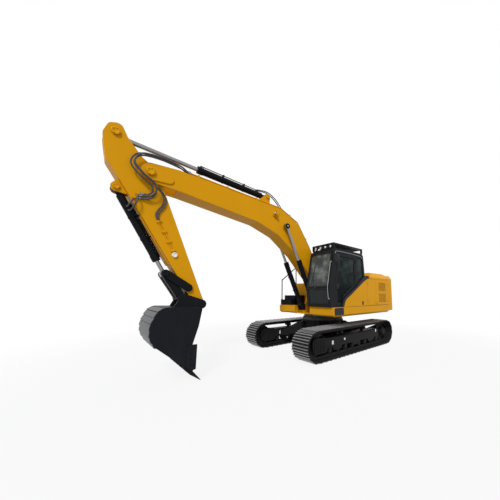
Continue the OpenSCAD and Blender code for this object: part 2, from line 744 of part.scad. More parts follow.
module seat() {
    mid = (cab_left + cab_right) / 2;
    floor = cab_floor + cab_wall + fit;
    color("#26272a") {
        box(-250, 150, mid - 180, mid + 180, floor, seat_top - 130);
        box(-280, 240, mid - 250, mid + 250, seat_top - 131, seat_top);
        slab(mid - 240, mid + 240) polygon(rounded([[-260, seat_top - 50, 20], [-130, seat_top - 50, 20],
            [-260, back_top, 40], [-370, back_top, 40]]));
        slab(mid - 130, mid + 130) polygon(rounded([[-370, back_top - 10, 0], [-265, back_top - 10, 0],
            [-290, cab_z(0.7876), 40], [-385, cab_z(0.7876), 40]]));
    }
}

module console() {
    mid = (cab_left + cab_right) / 2;
    floor = cab_floor + cab_wall + fit;
    color("#2b2c2f") {
        for (s = [-1, 1]) {
            box(-200, 350, mid + s * 330 - 60, mid + s * 330 + 60, floor, console_top);
            translate([300, mid + s * 330, console_top - 1]) cylinder(h = 150, r = 14);
            translate([300, mid + s * 330, console_top + 140]) cylinder(h = 110, r = 26);
        }
        for (s = [-1, 1]) {
            box(700, 860, mid + s * 110 - 60, mid + s * 110 + 60, floor, floor + 40);
            translate([780, mid + s * 110, floor + 39]) cylinder(h = 420, r = 14);
        }
    }
}

// Side outline of the boom between foot and nose
boom_side = rounded([[-150, -60, 60], [-120, 120, 100], [1230, 1060, 500], [1960, 1480, 500], [2700, 1475, 600],
    [boom_length - 370, 430, 300], [boom_length + 130, 150, 100], [boom_length + 160, -110, 120],
    [boom_length - 120, -170, 120], [boom_length - 620, 20, 300], [3200, 620, 600], [2450, 690, 400],
    [1550, 500, 500], [560, 110, 400], [60, -170, 120]], 8);

module boom() {
    nose = [boom_length, 0];
    color("#d99a12") in_boom() difference() {
        union() {
            slab(-boom_half, boom_half) polygon(boom_side);
            rod_y([0, 0], -foot_half, foot_half, 172);
            rod_y(lift_pin, -boom_half - 22, boom_half + 22, 105);
            slabs(boom_half - 40, boom_half + 20) polygon(capsule(nose, 165, nose + [-330, 90], 90));
            slabs(66, 102) polygon(capsule(arm_cylinder_foot, 84, arm_cylinder_foot + [0, -380], 230));
        }
        rod_y([0, 0], -600, 600, 62);
        rod_y(nose, -arm_half - 6, arm_half + 6, 560);
        rod_y(nose, -600, 600, 56);
        rod_y(arm_cylinder_foot, -300, 300, 46);
    }
    color("#8b8d90") in_boom() {
        rod_y(nose, -boom_half - 40, boom_half + 40, 56 - pin_fit);
        rod_y(arm_cylinder_foot, -112, 112, 46 - pin_fit);
    }
}

// Corner b of a line a, b, c moved outward by h
function mitre(a, b, c, h) =
    let (u = (b - a) / norm(b - a), v = (c - b) / norm(c - b))
    let (n = [-u.y - v.y, u.x + v.x] / norm(u + v))
    b - n * h / (n * [u.y, -u.x]);

// Steel lines along the top edge of the boom on saddles
boom_top = [[-120, 120], [1230, 1060], [1960, 1480], [2700, 1475], [boom_length - 370, 430]];
lift = 44;
boom_route = [boom_top[0] + (boom_top[1] - boom_top[0]) * 0.45 + turn([0, lift], heading(boom_top[0], boom_top[1])),
    mitre(boom_top[0], boom_top[1], boom_top[2], lift), mitre(boom_top[1], boom_top[2], boom_top[3], lift),
    mitre(boom_top[2], boom_top[3], boom_top[4], lift),
    boom_top[3] + (boom_top[4] - boom_top[3]) * 0.9 + turn([0, lift], heading(boom_top[3], boom_top[4]))];
module boom_pipes() {
    color("#2b2c2e") in_boom() {
        for (k = [0 : 1]) for (i = [0 : 3]) translate([0, boom_half - 34 - k * 52, 0])
            bar([boom_route[i].x, 0, boom_route[i].y], [boom_route[i + 1].x, 0, boom_route[i + 1].y], 15);
        for (g = [[0, 0.6], [1, 0.3], [2, 0.5], [3, 0.3], [3, 0.6], [3, 0.85]])
            along(boom_top[g[0]], boom_top[g[0] + 1]) translate([norm(boom_top[g[0] + 1] - boom_top[g[0]]) * g[1], 0, 0])
                box(-22, 22, boom_half - 118, boom_half - 6, fit, lift + 24);
    }
}

// Points on a smooth line through p, n steps for each stretch
function between(a, b, c, d, t) = 0.5 * (2 * b + (c - a) * t + (2 * a - 5 * b + 4 * c - d) * t * t
    + (3 * b - a - 3 * c + d) * t * t * t);
function smooth(p, n) = let (m = len(p) - 1) concat([for (i = [0 : m - 1]) for (j = [0 : n - 1])
    between(p[max(0, i - 1)], p[i], p[i + 1], p[min(m, i + 2)], j / n)], [p[m]]);

// Tube of radius r along the points c
module tube(c, r, sides = 10) {
    m = len(c) - 1;
    rings = [for (i = [0 : m])
        let (t = c[min(m, i + 1)] - c[max(0, i - 1)], a = cross(t, [0, 1, 0]) / norm(cross(t, [0, 1, 0])))
        let (b = cross(a, t) / norm(t))
        for (k = [0 : sides - 1]) c[i] + r * (cos(k * 360 / sides) * a + sin(k * 360 / sides) * b)];
    skin = [for (i = [0 : m - 1]) for (k = [0 : sides - 1])
        let (p = i * sides + k, q = i * sides + (k + 1) % sides)
        for (f = [[p, q, q + sides], [p, q + sides, p + sides]]) f];
    ends = [[for (k = [0 : sides - 1]) sides - 1 - k], [for (k = [0 : sides - 1]) m * sides + k]];
    polyhedron(rings, concat(skin, ends));
}

// Two hoses that leave the boom's steel lines, arch past the nose and reach the bosses on the arm's left face
hose_boss = [[450, 440], [380, 350]];
hose_radius = 16;
boss_radius = 30;
module arm_hoses() {
    start = out_of_boom(boom_route[4]);
    run = unit(boom_angle + heading(boom_top[3], boom_top[4]));
    shift = boom_nose - [5452.6, 4207.9];
    over = [[[4950, 215, 4515], [5310, 275, 4515], [5630, 295, 4455], [5735, 300, 4270], [5590, 300, 4105],
        [5380, 290, 3965], [5340, 250, 3780], [5450, 212, 3640]],
        [[4950, 165, 4560], [5300, 235, 4560], [5665, 258, 4505], [5785, 258, 4270], [5620, 258, 4060],
        [5420, 256, 3915], [5400, 224, 3800], [5470, 198, 3730]]];
    color("#1f2022") for (k = [0, 1]) {
        y = boom_half - 34 - k * 52;
        a = start + run * (18 + fit);
        b = out_of_arm(hose_boss[k]);
        w = over[k][7];
        d = (b - [w.x, w.z] - shift) / norm(b - [w.x, w.z] - shift);
        e = b - d * (boss_radius + 5 * fit);
        c = e - d * 70;
        tube(smooth(concat([[a.x, y, a.y], [a.x + 80 * run.x, y, a.y + 80 * run.y]],
            [for (p = over[k]) [p.x + shift.x, p.y, p.z + shift.y]], [[c.x, arm_half + 22, c.y], [e.x, arm_half + 22, e.y]]),
            4), hose_radius);
    }
}

// Guarded work lamp on the boom's left side
module boom_light() {
    color("#2b2c2e") in_boom() translate([2783, boom_half + fit, 1205]) {
        box(-90, 90, 0, 12, -110, 110);
        box(-70, 70, 11, 60, -100, -86);
        translate([0, 62, -20]) rotate([0, 90, 0]) cylinder(h = 70, r = 56);
        box(-20, 20, 10, 50, -60, 20);
    }
}

module eye(p, w, r, hole) {
    difference() {
        rod_y(p, -w, w, r);
        if (hole > 0)
            rod_y(p, -w - 5, w + 5, hole);
    }
}

// Barrel from its foot pin along X: a neck that clears the bracket, the tube, and an end cap at the rod's end
module barrel(length, r, rod_r, foot_r, w, hole, neck) {
    difference() {
        union() {
            translate([foot_r - 20, 0, 0]) rotate([0, 90, 0]) cylinder(h = neck - foot_r + 22, r = w);
            translate([neck, 0, 0]) rotate([0, 90, 0]) cylinder(h = length - neck, r = r);
            translate([length - gland, 0, 0]) rotate([0, 90, 0]) cylinder(h = gland, r = r + 9);
            rod_y([0, 0], -w, w, foot_r);
        }
        rod_y([0, 0], -w - 5, w + 5, hole);
        translate([neck + 20, 0, 0]) rotate([0, 90, 0]) cylinder(h = length - gland - 10 - neck, r = r - wall);
        translate([length - gland, 0, 0]) rotate([0, 90, 0]) cylinder(h = gland + 10, r = rod_r + pin_fit);
    }
}

// Rod with its piston inside the barrel and its eye at the far pin
module rod(start, length, r, barrel_r, eye_r, w) {
    translate([start, 0, 0]) rotate([0, 90, 0]) cylinder(h = length - start, r = r);
    translate([start, 0, 0]) rotate([0, 90, 0]) cylinder(h = piston, r = barrel_r - wall - pin_fit);
    rod_y([length, 0], -w, w, eye_r);
}

gland = 130;
piston = 60;
wall = 14;

lift_top = out_of_boom(lift_pin);
lift_length = norm(lift_top - lift_foot);
lift_barrel = 0.5839 * lift_length;
module boom_cylinder_barrels() {
    color("#2a2b2d") for (s = [-1, 1])
        translate([0, s * lift_y, 0]) along(lift_foot, lift_top)
            barrel(lift_barrel, boom_cylinder_radius, 43, 88, 44, 46, 110);
}

module boom_cylinder_rods() {
    color("#a9abad") for (s = [-1, 1])
        translate([0, s * lift_y, 0]) along(lift_foot, lift_top)
            rod(0.3487 * lift_length, lift_length, 43, boom_cylinder_radius, 92, 46);
}

crowd_foot = out_of_boom(arm_cylinder_foot);
crowd_pin = out_of_arm(arm_cylinder_pin);
crowd_length = norm(crowd_pin - crowd_foot);
crowd_barrel = 0.5609 * crowd_length;
module arm_cylinder_barrel() {
    color("#2a2b2d") along(crowd_foot, crowd_pin)
        barrel(crowd_barrel, arm_cylinder_radius, 49, 92, 58, 46, 180);
}

module arm_cylinder_rod() {
    color("#a9abad") along(crowd_foot, crowd_pin)
        rod(0.456 * crowd_length, crowd_length, 49, arm_cylinder_radius, 92, 54);
}

curl_foot = out_of_arm(bucket_cylinder_foot);
curl_pin = out_of_arm(link_pin);
curl_length = norm(curl_pin - curl_foot);
curl_barrel = 0.8354 * curl_length;
module bucket_cylinder_barrel() {
    color("#2a2b2d") along(curl_foot, curl_pin)
        barrel(curl_barrel, bucket_cylinder_radius, 40, 84, 54, 42, 150);
}

module bucket_cylinder_rod() {
    color("#a9abad") along(curl_foot, curl_pin)
        rod(0.1565 * curl_length, curl_length, 40, bucket_cylinder_radius, 80, 50);
}

// Side outline of the arm, pivot at the origin and bucket pin along X
arm_side = rounded([[-60, -185, 110], [330, -140, 300], [arm_length - 200, -75, 200], [arm_length + 105, -70, 72],
    [arm_length + 105, 95, 72], [arm_length - 230, 165, 300], [330, 515, 400], [-340, 622, 160],
    [-790, 508, 170], [-965, 350, 110], [-965, 150, 95], [-700, 140, 150], [-330, 30, 250], [-190, -60, 90]]);

module arm() {
    color("#d99a12") in_arm() difference() {
        union() {
            slab(-arm_half, arm_half) polygon(arm_side);
            slabs(62, 96) polygon(capsule(bucket_cylinder_foot, 88, bucket_cylinder_foot + [0, -170], 170));
            for (p = hose_boss)
                rod_y(p, arm_half - 20, arm_half + 46, boss_radius);
        }
        box(-1200, -400, -62, 62, -300, 900);
        rod_y([0, 0], -300, 300, 56);
        rod_y(idler_pin, -300, 300, 46);
        rod_y([arm_length, 0], -300, 300, 46);
        rod_y(bucket_cylinder_foot, -300, 300, 42);
    }
    color("#8b8d90") in_arm() {
        rod_y(bucket_cylinder_foot, -108, 108, 42 - pin_fit);
        rod_y([arm_length, 0], -arm_half - 52, arm_half + 52, 46 - pin_fit);
        for (s = [-1, 1])
            rod_y(arm_cylinder_pin, s * (arm_half + 9) - 9 - fit, s * (arm_half + 9) + 9 + fit, 70);
    }
}

// Pair of guide links with their cross pin in the arm and two stubs for the bucket link
module idler_links() {
    color("#26272a") in_arm() {
        slabs(arm_half + 6, arm_half + 38) polygon(capsule(idler_pin, 82, link_pin, 76));
        rod_y(idler_pin, -arm_half - 10, arm_half + 10, 46 - pin_fit);
        for (s = [-1, 1])
            rod_y(link_pin, s * (arm_half / 2 + 40) - arm_half / 2 + 24, s * (arm_half / 2 + 40) + arm_half / 2 - 24, 40);
    }
}

module bucket_link() {
    a = link_pin;
    b = ear_pin;
    color("#26272a") in_arm() difference() {
        union() {
            slabs(62, arm_half) polygon(capsule(a, 82, b, 84));
            translate([a.x, 0, a.y]) rotate([0, -heading(a, b), 0])
                box(430, 520, -70, 70, -60, 60);
            rod_y(b, -arm_half, arm_half, 84);
        }
        rod_y(a, -300, 300, 40 + pin_fit);
    }
}

// Side outline of the bucket shell, bucket pin at the origin and tooth tips along X
bucket_out = [[60, 110, 30], [80, 800, 90], [180, 915, 160], [420, 1000, 240], [640, 985, 260], [800, 880, 160],
    [1330, 190, 0], [1290, 170, 20], [800, 235, 200], [430, 150, 100]];
bucket_cavity = [[85, 100, 20], [105, 800, 80], [195, 890, 150], [420, 975, 230], [630, 960, 240], [780, 865, 150],
    [1340, 140, 0], [900, -200, 0], [85, -200, 0]];

module bucket() {
    half = bucket_width / 2;
    in_y = arm_half + 8;
    color("#33383f") in_bucket() difference() {
        union() {
            difference() {
                slab(-half, half) polygon(rounded(bucket_out));
                slab(-half + bucket_plate, half - bucket_plate) polygon(rounded(bucket_cavity));
            }
            slabs(in_y, in_y + 40) polygon(capsule([0, 0], 100, [-124, 421], 92));
            slabs(in_y, in_y + 40) polygon([[0, -10], [75, 120], [80, 560], [-90, 480], [-110, 380]]);
        }
        rod_y([0, 0], -in_y - 60, in_y + 60, 46);
    }
}

module bucket_teeth() {
    half = bucket_width / 2;
    step = (bucket_width - 140) / (tooth_count - 1);
    lip = [bucket_out[6].x, bucket_out[6].y];
    lie = heading([bucket_out[5].x, bucket_out[5].y], lip);
    tooth = [for (k = [[-199, fit], [0.5, fit], [0.5, -25], [45, -20], [257, 17], [256, 28], [8, 51], [-120, 42],
        [-199, 24]]) lip + turn(k, lie)];
    color("#44484d") in_bucket() {
        for (i = [0 : tooth_count - 1])
            translate([0, -half + 70 + i * step, 0]) slab(-45, 45) polygon(tooth);
        slabs(half + fit, half + 20) polygon(rounded([[790, 150, 12], [800, 330, 30], [1180, 330, 30], [1290, 215, 20],
            [1268, 130, 12]]));
    }
}

carbody();
track_frames();
track_left();
track_right();
sprockets();
idlers();
rollers();
swing_ring();
upper_frame();
decks();
counterweight();
engine();
bulkhead();
left_cover();
left_door_front();
left_door_rear();
hood();
right_door();
fuel_tank();
hydraulic_tank();
tool_box();
handrails();
cab_frame();
cab_roof();
windshield();
cab_glass();
cab_door();
door_glass();
roof_guard();
cab_lights();
seat();
console();
boom();
boom_pipes();
boom_light();
arm_hoses();
boom_cylinder_barrels();
boom_cylinder_rods();
arm();
arm_cylinder_barrel();
arm_cylinder_rod();
bucket_cylinder_barrel();
bucket_cylinder_rod();
idler_links();
bucket_link();
bucket();
bucket_teeth();
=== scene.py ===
# %% [markdown]
# # A crawler excavator, dressed for its portrait
# The solids of the machine come in as a fixed frame, already in place and in metres.
# This lesson gives each of them a finish and adds the pieces that are too small, too soft
# or too thin for the solids: hoses, chain links, bolts, seals, wear strips and cushions.

import math

import bmesh
import bpy
import numpy as np
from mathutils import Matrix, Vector


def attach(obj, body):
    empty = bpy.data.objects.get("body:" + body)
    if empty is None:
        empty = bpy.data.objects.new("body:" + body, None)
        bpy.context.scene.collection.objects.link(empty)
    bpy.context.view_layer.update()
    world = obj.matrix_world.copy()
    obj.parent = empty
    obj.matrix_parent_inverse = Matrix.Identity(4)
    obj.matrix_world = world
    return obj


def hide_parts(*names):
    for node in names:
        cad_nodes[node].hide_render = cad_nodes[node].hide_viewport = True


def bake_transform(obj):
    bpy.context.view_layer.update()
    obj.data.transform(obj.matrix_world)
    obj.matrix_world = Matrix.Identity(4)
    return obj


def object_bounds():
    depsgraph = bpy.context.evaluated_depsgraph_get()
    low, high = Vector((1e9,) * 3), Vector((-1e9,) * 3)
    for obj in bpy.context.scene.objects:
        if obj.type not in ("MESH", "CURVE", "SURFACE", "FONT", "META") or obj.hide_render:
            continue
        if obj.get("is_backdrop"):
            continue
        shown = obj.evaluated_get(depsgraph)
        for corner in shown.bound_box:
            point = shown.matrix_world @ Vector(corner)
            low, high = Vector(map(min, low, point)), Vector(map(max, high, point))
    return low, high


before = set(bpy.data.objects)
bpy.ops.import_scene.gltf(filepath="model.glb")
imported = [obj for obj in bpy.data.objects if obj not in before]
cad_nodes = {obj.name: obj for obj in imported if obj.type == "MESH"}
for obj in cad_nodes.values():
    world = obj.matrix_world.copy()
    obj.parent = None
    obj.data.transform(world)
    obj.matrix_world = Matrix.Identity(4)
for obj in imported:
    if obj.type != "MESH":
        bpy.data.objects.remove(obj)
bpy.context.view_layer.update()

# %% [markdown]
# ## Camera
# The photograph was taken from low down in front of the machine's left side with a wide lens.
# A camera could be aimed by eye, but its place, turn and lens were worked out from points on
# the tracks, cab and boom, so the same numbers put every edge where the picture has it.
# The small shift stands for a picture that was cropped off centre.

# %% Camera
EYE = (6.1108, 5.3697, 1.7176)
VIEW_TURN, VIEW_TILT = 227.9185, 6.3558
camera = bpy.data.objects.new("camera", bpy.data.cameras.new("camera"))
camera.location = EYE
camera.rotation_euler = (math.radians(90 + VIEW_TILT), 0, math.radians(VIEW_TURN - 90))
camera.data.lens = 15.987
camera.data.shift_x, camera.data.shift_y = -0.0925, 0.0412
camera.data.clip_end = 300
bpy.context.collection.objects.link(camera)
bpy.context.scene.camera = camera
print("camera at", EYE)

# %% [markdown]
# ## Shader maths as plain expressions
# A finish is a graph of nodes, and most of them only add, multiply or compare values.
# Wiring each by hand hides the formula. A small class that holds one socket and knows the
# arithmetic signs lets the formula be written as it is thought: `1 - mask`, `dust * 0.4`.


# %% Sockets with arithmetic
class Socket:
    """One output of a node; sums of sockets and numbers become Math nodes."""

    def __init__(self, graph, socket):
        self.graph, self.socket = graph, socket

    def math(self, operation, *values):
        return self.graph.add("Math", {"operation": operation}, dict(enumerate(values)))

    def __add__(self, other):
        return self.math("ADD", self, other)

    def __sub__(self, other):
        return self.math("SUBTRACT", self, other)

    def __rsub__(self, other):
        return self.math("SUBTRACT", other, self)

    def __mul__(self, other):
        return self.math("MULTIPLY", self, other)

    __radd__, __rmul__ = __add__, __mul__

    def step(self, low, high):
        """0 below low, 1 above high, and a smooth rise between them."""
        return self.graph.add("MapRange", {"interpolation_type": "SMOOTHSTEP", "clamp": True},
                              {"Value": self, "From Min": low, "From Max": high})


class Graph:
    """A tree of nodes, of a material or of the world."""

    def __init__(self, tree):
        self.tree = tree

    def add(self, kind, settings=None, inputs=None, out=0):
        """A node of that type: its settings first, then a value or a link for each socket named."""
        node = self.tree.nodes.new("ShaderNode" + kind)
        for key, value in (settings or {}).items():
            setattr(node, key, value)
        for key, value in (inputs or {}).items():
            self.join(value, node.inputs[key])
        return Socket(self, node.outputs[out])

    def join(self, value, socket):
        if isinstance(value, Socket):
            self.tree.links.new(value.socket, socket)
        else:
            socket.default_value = value

    def seen(self):
        """1 where the camera looks straight, by a reflection or through glass, and 0 for light that falls on things."""
        rays = [self.add("LightPath", out="Is %s Ray" % kind) for kind in ("Camera", "Glossy", "Transmission")]
        return rays[0].math("MAXIMUM", rays[0].math("MAXIMUM", *rays[:2]), rays[2])


class Finish(Graph):
    """A material with one Principled shader, whose fixed inputs are given by name."""

    def __init__(self, name, **fixed):
        self.material = bpy.data.materials.new(name)
        self.material.use_nodes = True
        super().__init__(self.material.node_tree)
        self.shader = self.tree.nodes["Principled BSDF"]
        for key, value in fixed.items():
            self.shader.inputs[key.replace("_", " ")].default_value = value
        self.place = self.add("TexCoord", out="Object")

    def mix(self, share, one, two):
        """Colour one where share is 0 and colour two where it is 1."""
        return self.add("Mix", {"data_type": "RGBA"}, {0: share, 6: one, 7: two}, 2)

    def noise(self, scale, detail=3, stretch=(1, 1, 1)):
        """Cloudy values from 0 to 1, in Object coordinates, stretched along each axis."""
        place = self.add("Mapping", None, {"Vector": self.place, "Scale": stretch})
        return self.add("TexNoise", None, {"Vector": place, "Scale": scale, "Detail": detail})

    def along(self, axis):
        """Each point's own X, Y or Z in metres, so Z is its height above the ground."""
        return self.add("SeparateXYZ", None, {"Vector": self.place}, out=axis)

    def show(self, colour=None, roughness=None, bump=None, deep=0.002, edge=0.0, **others):
        """Links what changes over the surface: colour, roughness, a bump that is deep metres high, and
        an edge radius that rounds sharp edges in the light."""
        given = {"Base Color": colour, "Roughness": roughness}
        given.update({key.replace("_", " "): value for key, value in others.items()})
        for key, value in given.items():
            if value is not None:
                self.join(value, self.shader.inputs[key])
        normal = self.add("Bevel", {"samples": 4}, {"Radius": edge}) if edge else None
        if bump is not None:
            wave = {"Height": bump, "Distance": deep, "Strength": 1.0}
            if normal is not None:
                wave["Normal"] = normal
            normal = self.add("Bump", None, wave)
        if normal is not None:
            self.join(normal, self.shader.inputs["Normal"])
        return self.material


# %% [markdown]
# ## Paints and metals
# New machine paint is even but never flat: it has a fine orange-peel skin, a clear gloss, slow drifts
# of tone over a large panel, and dust that settles low down and on ledges. Each finish below is
# one function, so each says what the real one is made of. Rounding of sharp edges is left to a
# bevel in the normal, because the solids have crisp corners where the real plate is dressed.


# %% Paint finishes
def shaded(colour, times, plus=0.0):
    """A colour made darker or lighter."""
    return tuple(times * c + plus for c in colour[:3]) + (1,)


def paint(name, colour, dusty, gloss, dust=0.25, coat=0.04, ear_shade=None):
    """Sprayed enamel: the colour drifts by cloudy noise, dust gathers near the ground, a fine skin bumps the gloss.
    Where a colour is given for the ears, the plates ahead of the boom's foot and above the keel are painted with it as
    painted shade."""
    f = Finish(name, Coat_Roughness=0.12, Coat_IOR=1.4, IOR=1.4, Specular_IOR_Level=0.08)
    drift = f.noise(1.3, 4)
    grime = f.noise(9, 6, (1, 1, 0.35)) * (1 - f.along("Z").step(0.2, 2.6)) * dust
    skin = f.mix(drift, shaded(colour, 0.86), colour)
    if ear_shade:
        # The ears ahead of the boom's foot are painted near black: painted shade.
        skin = f.mix(f.along("X").step(0.600, 0.612) * f.along("Z").step(1.205, 1.215), skin, ear_shade)
    return f.show(f.mix(grime, skin, dusty), drift * 0.08 + grime * 0.5 + gloss,
                  bump=f.noise(260, 2), deep=0.0004, edge=0.007, Coat_Weight=coat - grime * 0.3)


DUST = (0.20, 0.17, 0.13, 1)
GOLDEN = (0.70, 0.318, 0.003, 1)
YELLOW = paint("golden_paint", GOLDEN, DUST, 0.32, dust=0.04, coat=0.05)
# The frame's paint darkens its ears ahead of the boom's foot as painted shade.
FRAME_YELLOW_EAR_SHADE = paint("frame_paint_ear_shade", GOLDEN, DUST, 0.32, dust=0.04, coat=0.05, ear_shade=(0.010, 0.010, 0.011, 1))
CHARCOAL = paint("charcoal_paint", (0.006, 0.007, 0.009, 1), DUST, 0.40, dust=0.06)
CAB_GREY = paint("cab_paint", (0.009, 0.010, 0.012, 1), DUST, 0.32, dust=0.03, coat=0.10)
BUCKET_BLUE = paint("bucket_paint", (0.007, 0.009, 0.013, 1), DUST, 0.42, dust=0.05)


# The track's loop: the distance between its two axles, and their height
TUMBLERS, AXLE_Z = 3.650, 0.416


def track_steel():
    """Cast shoes: dark scale and brown dust, rubbed bright only where the ribs tread, far out from the loop's middle
    line. That distance is taken from the nearest point between the two axles."""
    f = Finish("track_steel", Specular_IOR_Level=0.15)
    patch = f.noise(14, 6)
    x, up = f.along("X"), f.along("Z") - AXLE_Z
    beyond = x.math("MAXIMUM", x.math("ABSOLUTE", x) - TUMBLERS / 2, 0.0)
    tread = (beyond * beyond + up * up).step(0.396 ** 2, 0.412 ** 2)
    rub = f.noise(45, 4).step(0.30, 0.75) * tread
    dirt = f.mix(patch, (0.008, 0.008, 0.009, 1), (0.022, 0.020, 0.019, 1))
    return f.show(f.mix(rub, dirt, (0.13, 0.128, 0.125, 1)), 0.62 - rub * 0.2, bump=patch, deep=0.003,
                  edge=0.004, Metallic=rub * 0.5 + 0.10)


def bare_metal(name, colour, rough, grain):
    """Ground or plated steel: fine lines along the grain direction bend the gloss."""
    f = Finish(name, Metallic=1.0)
    lines = f.noise(60, 3, grain)
    return f.show(f.mix(lines, shaded(colour, 0.8), colour), lines * 0.14 + rough, bump=lines, deep=0.0003)


TRACK = track_steel()
WORN_STEEL = bare_metal("worn_steel", (0.32, 0.32, 0.335, 1), 0.38, (5, 1, 5))
CHROME = bare_metal("rod_chrome", (0.30, 0.305, 0.315, 1), 0.12, (1, 12, 1))
PIN_STEEL = bare_metal("pin_steel", (0.30, 0.30, 0.31, 1), 0.30, (6, 1, 6))
WEAR_STEEL = bare_metal("wear_plate", (0.066, 0.074, 0.085, 1), 0.34, (4, 0.6, 4))


# %% Glass, rubber and plastic finishes
def tinted_glass(name, clear, reflection_colour, see_through, shine):
    """Grey-green safety glass: the tint lets some of the inside show, and above the knee cloudy patches of a lighter
    colour, a little rougher and less clear, are painted reflection."""
    f = Finish(name, IOR=1.45, Specular_IOR_Level=shine)
    reflection_patches = (f.noise(3, 5).step(0.40, 0.75) * 0.8 + 0.2) * f.along("Z").step(1.85, 2.20)
    return f.show(f.mix(reflection_patches, clear, reflection_colour), reflection_patches * 0.06 + 0.03, Alpha=reflection_patches * 0.06 + 1 - see_through)


def moulded(name, colour, grain=420, rough=0.55):
    """Moulded plastic or rubber: pebbled skin and a little bloom of grey."""
    f = Finish(name, IOR=1.45, Specular_IOR_Level=0.2)
    bloom = f.noise(5, 4)
    return f.show(f.mix(bloom, colour, shaded(colour, 1.7, 0.004)), bloom * 0.15 + rough,
                  bump=f.noise(grain, 1), deep=0.0008, edge=0.004)


def hose_cover():
    """Hose with a wrapped cover: a fine spiral of cloth marks follows the hose's own length and turn."""
    f = Finish("hose_cover", IOR=1.45)
    run = f.add("UVMap", {"uv_map": "run"})
    wrap = f.add("TexWave", {"wave_type": "BANDS", "bands_direction": "DIAGONAL"}, {"Vector": run, "Scale": 9.0})
    return f.show(f.mix(wrap, (0.016, 0.016, 0.017, 1), (0.075, 0.075, 0.078, 1)), wrap * 0.2 + 0.42,
                  bump=wrap, deep=0.0006)


def seat_cloth():
    """Woven upholstery: two crossed waves of thread and a slow fading."""
    f = Finish("seat_cloth", Sheen_Weight=0.3)
    warp = f.add("TexWave", {"bands_direction": "Y"}, {"Vector": f.place, "Scale": 130.0})
    weft = f.add("TexWave", {"bands_direction": "Z"}, {"Vector": f.place, "Scale": 130.0})
    weave = warp * weft
    return f.show(f.mix(weave, (0.010, 0.010, 0.011, 1), (0.040, 0.040, 0.043, 1)), 0.8 + weave * 0.1,
                  bump=weave, deep=0.0015)


def lamp_glass():
    """Pressed lens: upright ribs in clear glass over a bright bowl."""
    f = Finish("lamp_glass", IOR=1.5, Coat_Weight=0.6)
    ribs = f.add("TexWave", {"bands_direction": "Y"}, {"Vector": f.place, "Scale": 32.0})
    return f.show(f.mix(ribs, (0.62, 0.63, 0.64, 1), (0.90, 0.90, 0.88, 1)), ribs * 0.1 + 0.10, bump=ribs, deep=0.003)


# The second colour of each glass is the lighter colour of its painted reflection patches.
SCREEN = tinted_glass("screen_glass", (0.020, 0.025, 0.025, 1), (0.230, 0.250, 0.225, 1), 0.24, 0.2)
GLASS = tinted_glass("tinted_glass", (0.0015, 0.004, 0.004, 1), (0.028, 0.046, 0.042, 1), 0.14, 0.06)
RUBBER = moulded("seal_rubber", (0.012, 0.012, 0.013, 1), 300, 0.6)
PLASTIC = moulded("trim_plastic", (0.018, 0.018, 0.020, 1))
PALE_PLATE = moulded("bare_plate", (0.55, 0.55, 0.54, 1), 120, 0.4)
HOSE = hose_cover()
CLOTH = seat_cloth()
LENS = lamp_glass()

# %% [markdown]
# ## Which solid wears which finish
# The frame's solids keep their shape and only get a finish. Grouping them by finish
# keeps the choice readable: paint on the structure, steel on what runs in dirt, chrome on rods.

# %% Dress the solids
DRESS = {
    FRAME_YELLOW_EAR_SHADE: ["upper_frame"],
    YELLOW: ["decks", "counterweight", "bulkhead", "left_cover", "left_door_front", "left_door_rear",
             "hood", "right_door", "fuel_tank", "hydraulic_tank", "boom", "boom_pipes", "boom_light", "arm"],
    CHARCOAL: ["carbody", "track_frames", "engine", "tool_box", "handrails", "boom_cylinder_barrels",
               "arm_cylinder_barrel", "bucket_cylinder_barrel", "idler_links", "bucket_link"],
    CAB_GREY: ["cab_frame", "cab_roof", "cab_door", "roof_guard"],
    TRACK: ["track_left", "track_right", "sprockets", "idlers", "rollers", "swing_ring"],
    CHROME: ["boom_cylinder_rods", "arm_cylinder_rod", "bucket_cylinder_rod"],
    SCREEN: ["windshield"],
    GLASS: ["cab_glass", "door_glass"],
    BUCKET_BLUE: ["bucket", "bucket_teeth"],
    PLASTIC: ["console", "seat", "cab_lights"],
    HOSE: ["arm_hoses"],
}
for finish, names in DRESS.items():
    for name in names:
        for place in cad_nodes[name].material_slots:
            place.material = finish
SLOTS = {YELLOW: "yellow_paint", CHARCOAL: "dark_paint", TRACK: "track_steel", WORN_STEEL: "track_steel",
         HOSE: "hose_rubber", PLASTIC: "trim_plastic", RUBBER: "trim_plastic", CLOTH: "trim_plastic",
         LENS: "lamp_lens", WEAR_STEEL: "bucket_steel"}
print("dressed", sum(map(len, DRESS.values())), "of", len(cad_nodes), "nodes")

# %% [markdown]
# ## Surfaces from arrays
# Every added piece is a grid of points: a ring of points carried along a path, or an outline
# raised into a plate. The points are worked out for the whole grid at once, and the faces follow
# from the grid's order. Repeats, such as bolts, are one small shape multiplied by a list of placings.


# %% Grid helpers
def grid_faces(rows, columns):
    """Faces of a grid whose last column meets its first: point (i, j) joins its neighbours to the right and above."""
    i, j = np.meshgrid(np.arange(rows - 1), np.arange(columns), indexing="ij")
    k = (j + 1) % columns
    corners = (i * columns + j, i * columns + k, (i + 1) * columns + k, (i + 1) * columns + j)
    return np.stack(corners, -1).reshape(-1, 4)


def loft(rings, closed=False):
    """A skin over an array of rings (rows, columns, 3): the last ring joins the first, or both get a flat cap."""
    rows, columns = rings.shape[:2]
    if closed:
        faces = np.mod(grid_faces(rows + 1, columns), rows * columns).tolist()
    else:
        ends = [np.arange(columns)[::-1], np.arange(columns) + (rows - 1) * columns]
        faces = grid_faces(rows, columns).tolist() + [e.tolist() for e in ends]
    u, v = np.meshgrid(np.linspace(0, 1, columns, endpoint=False), np.linspace(0, 1, rows))
    return rings.reshape(-1, 3), faces, np.stack([u, v], -1)


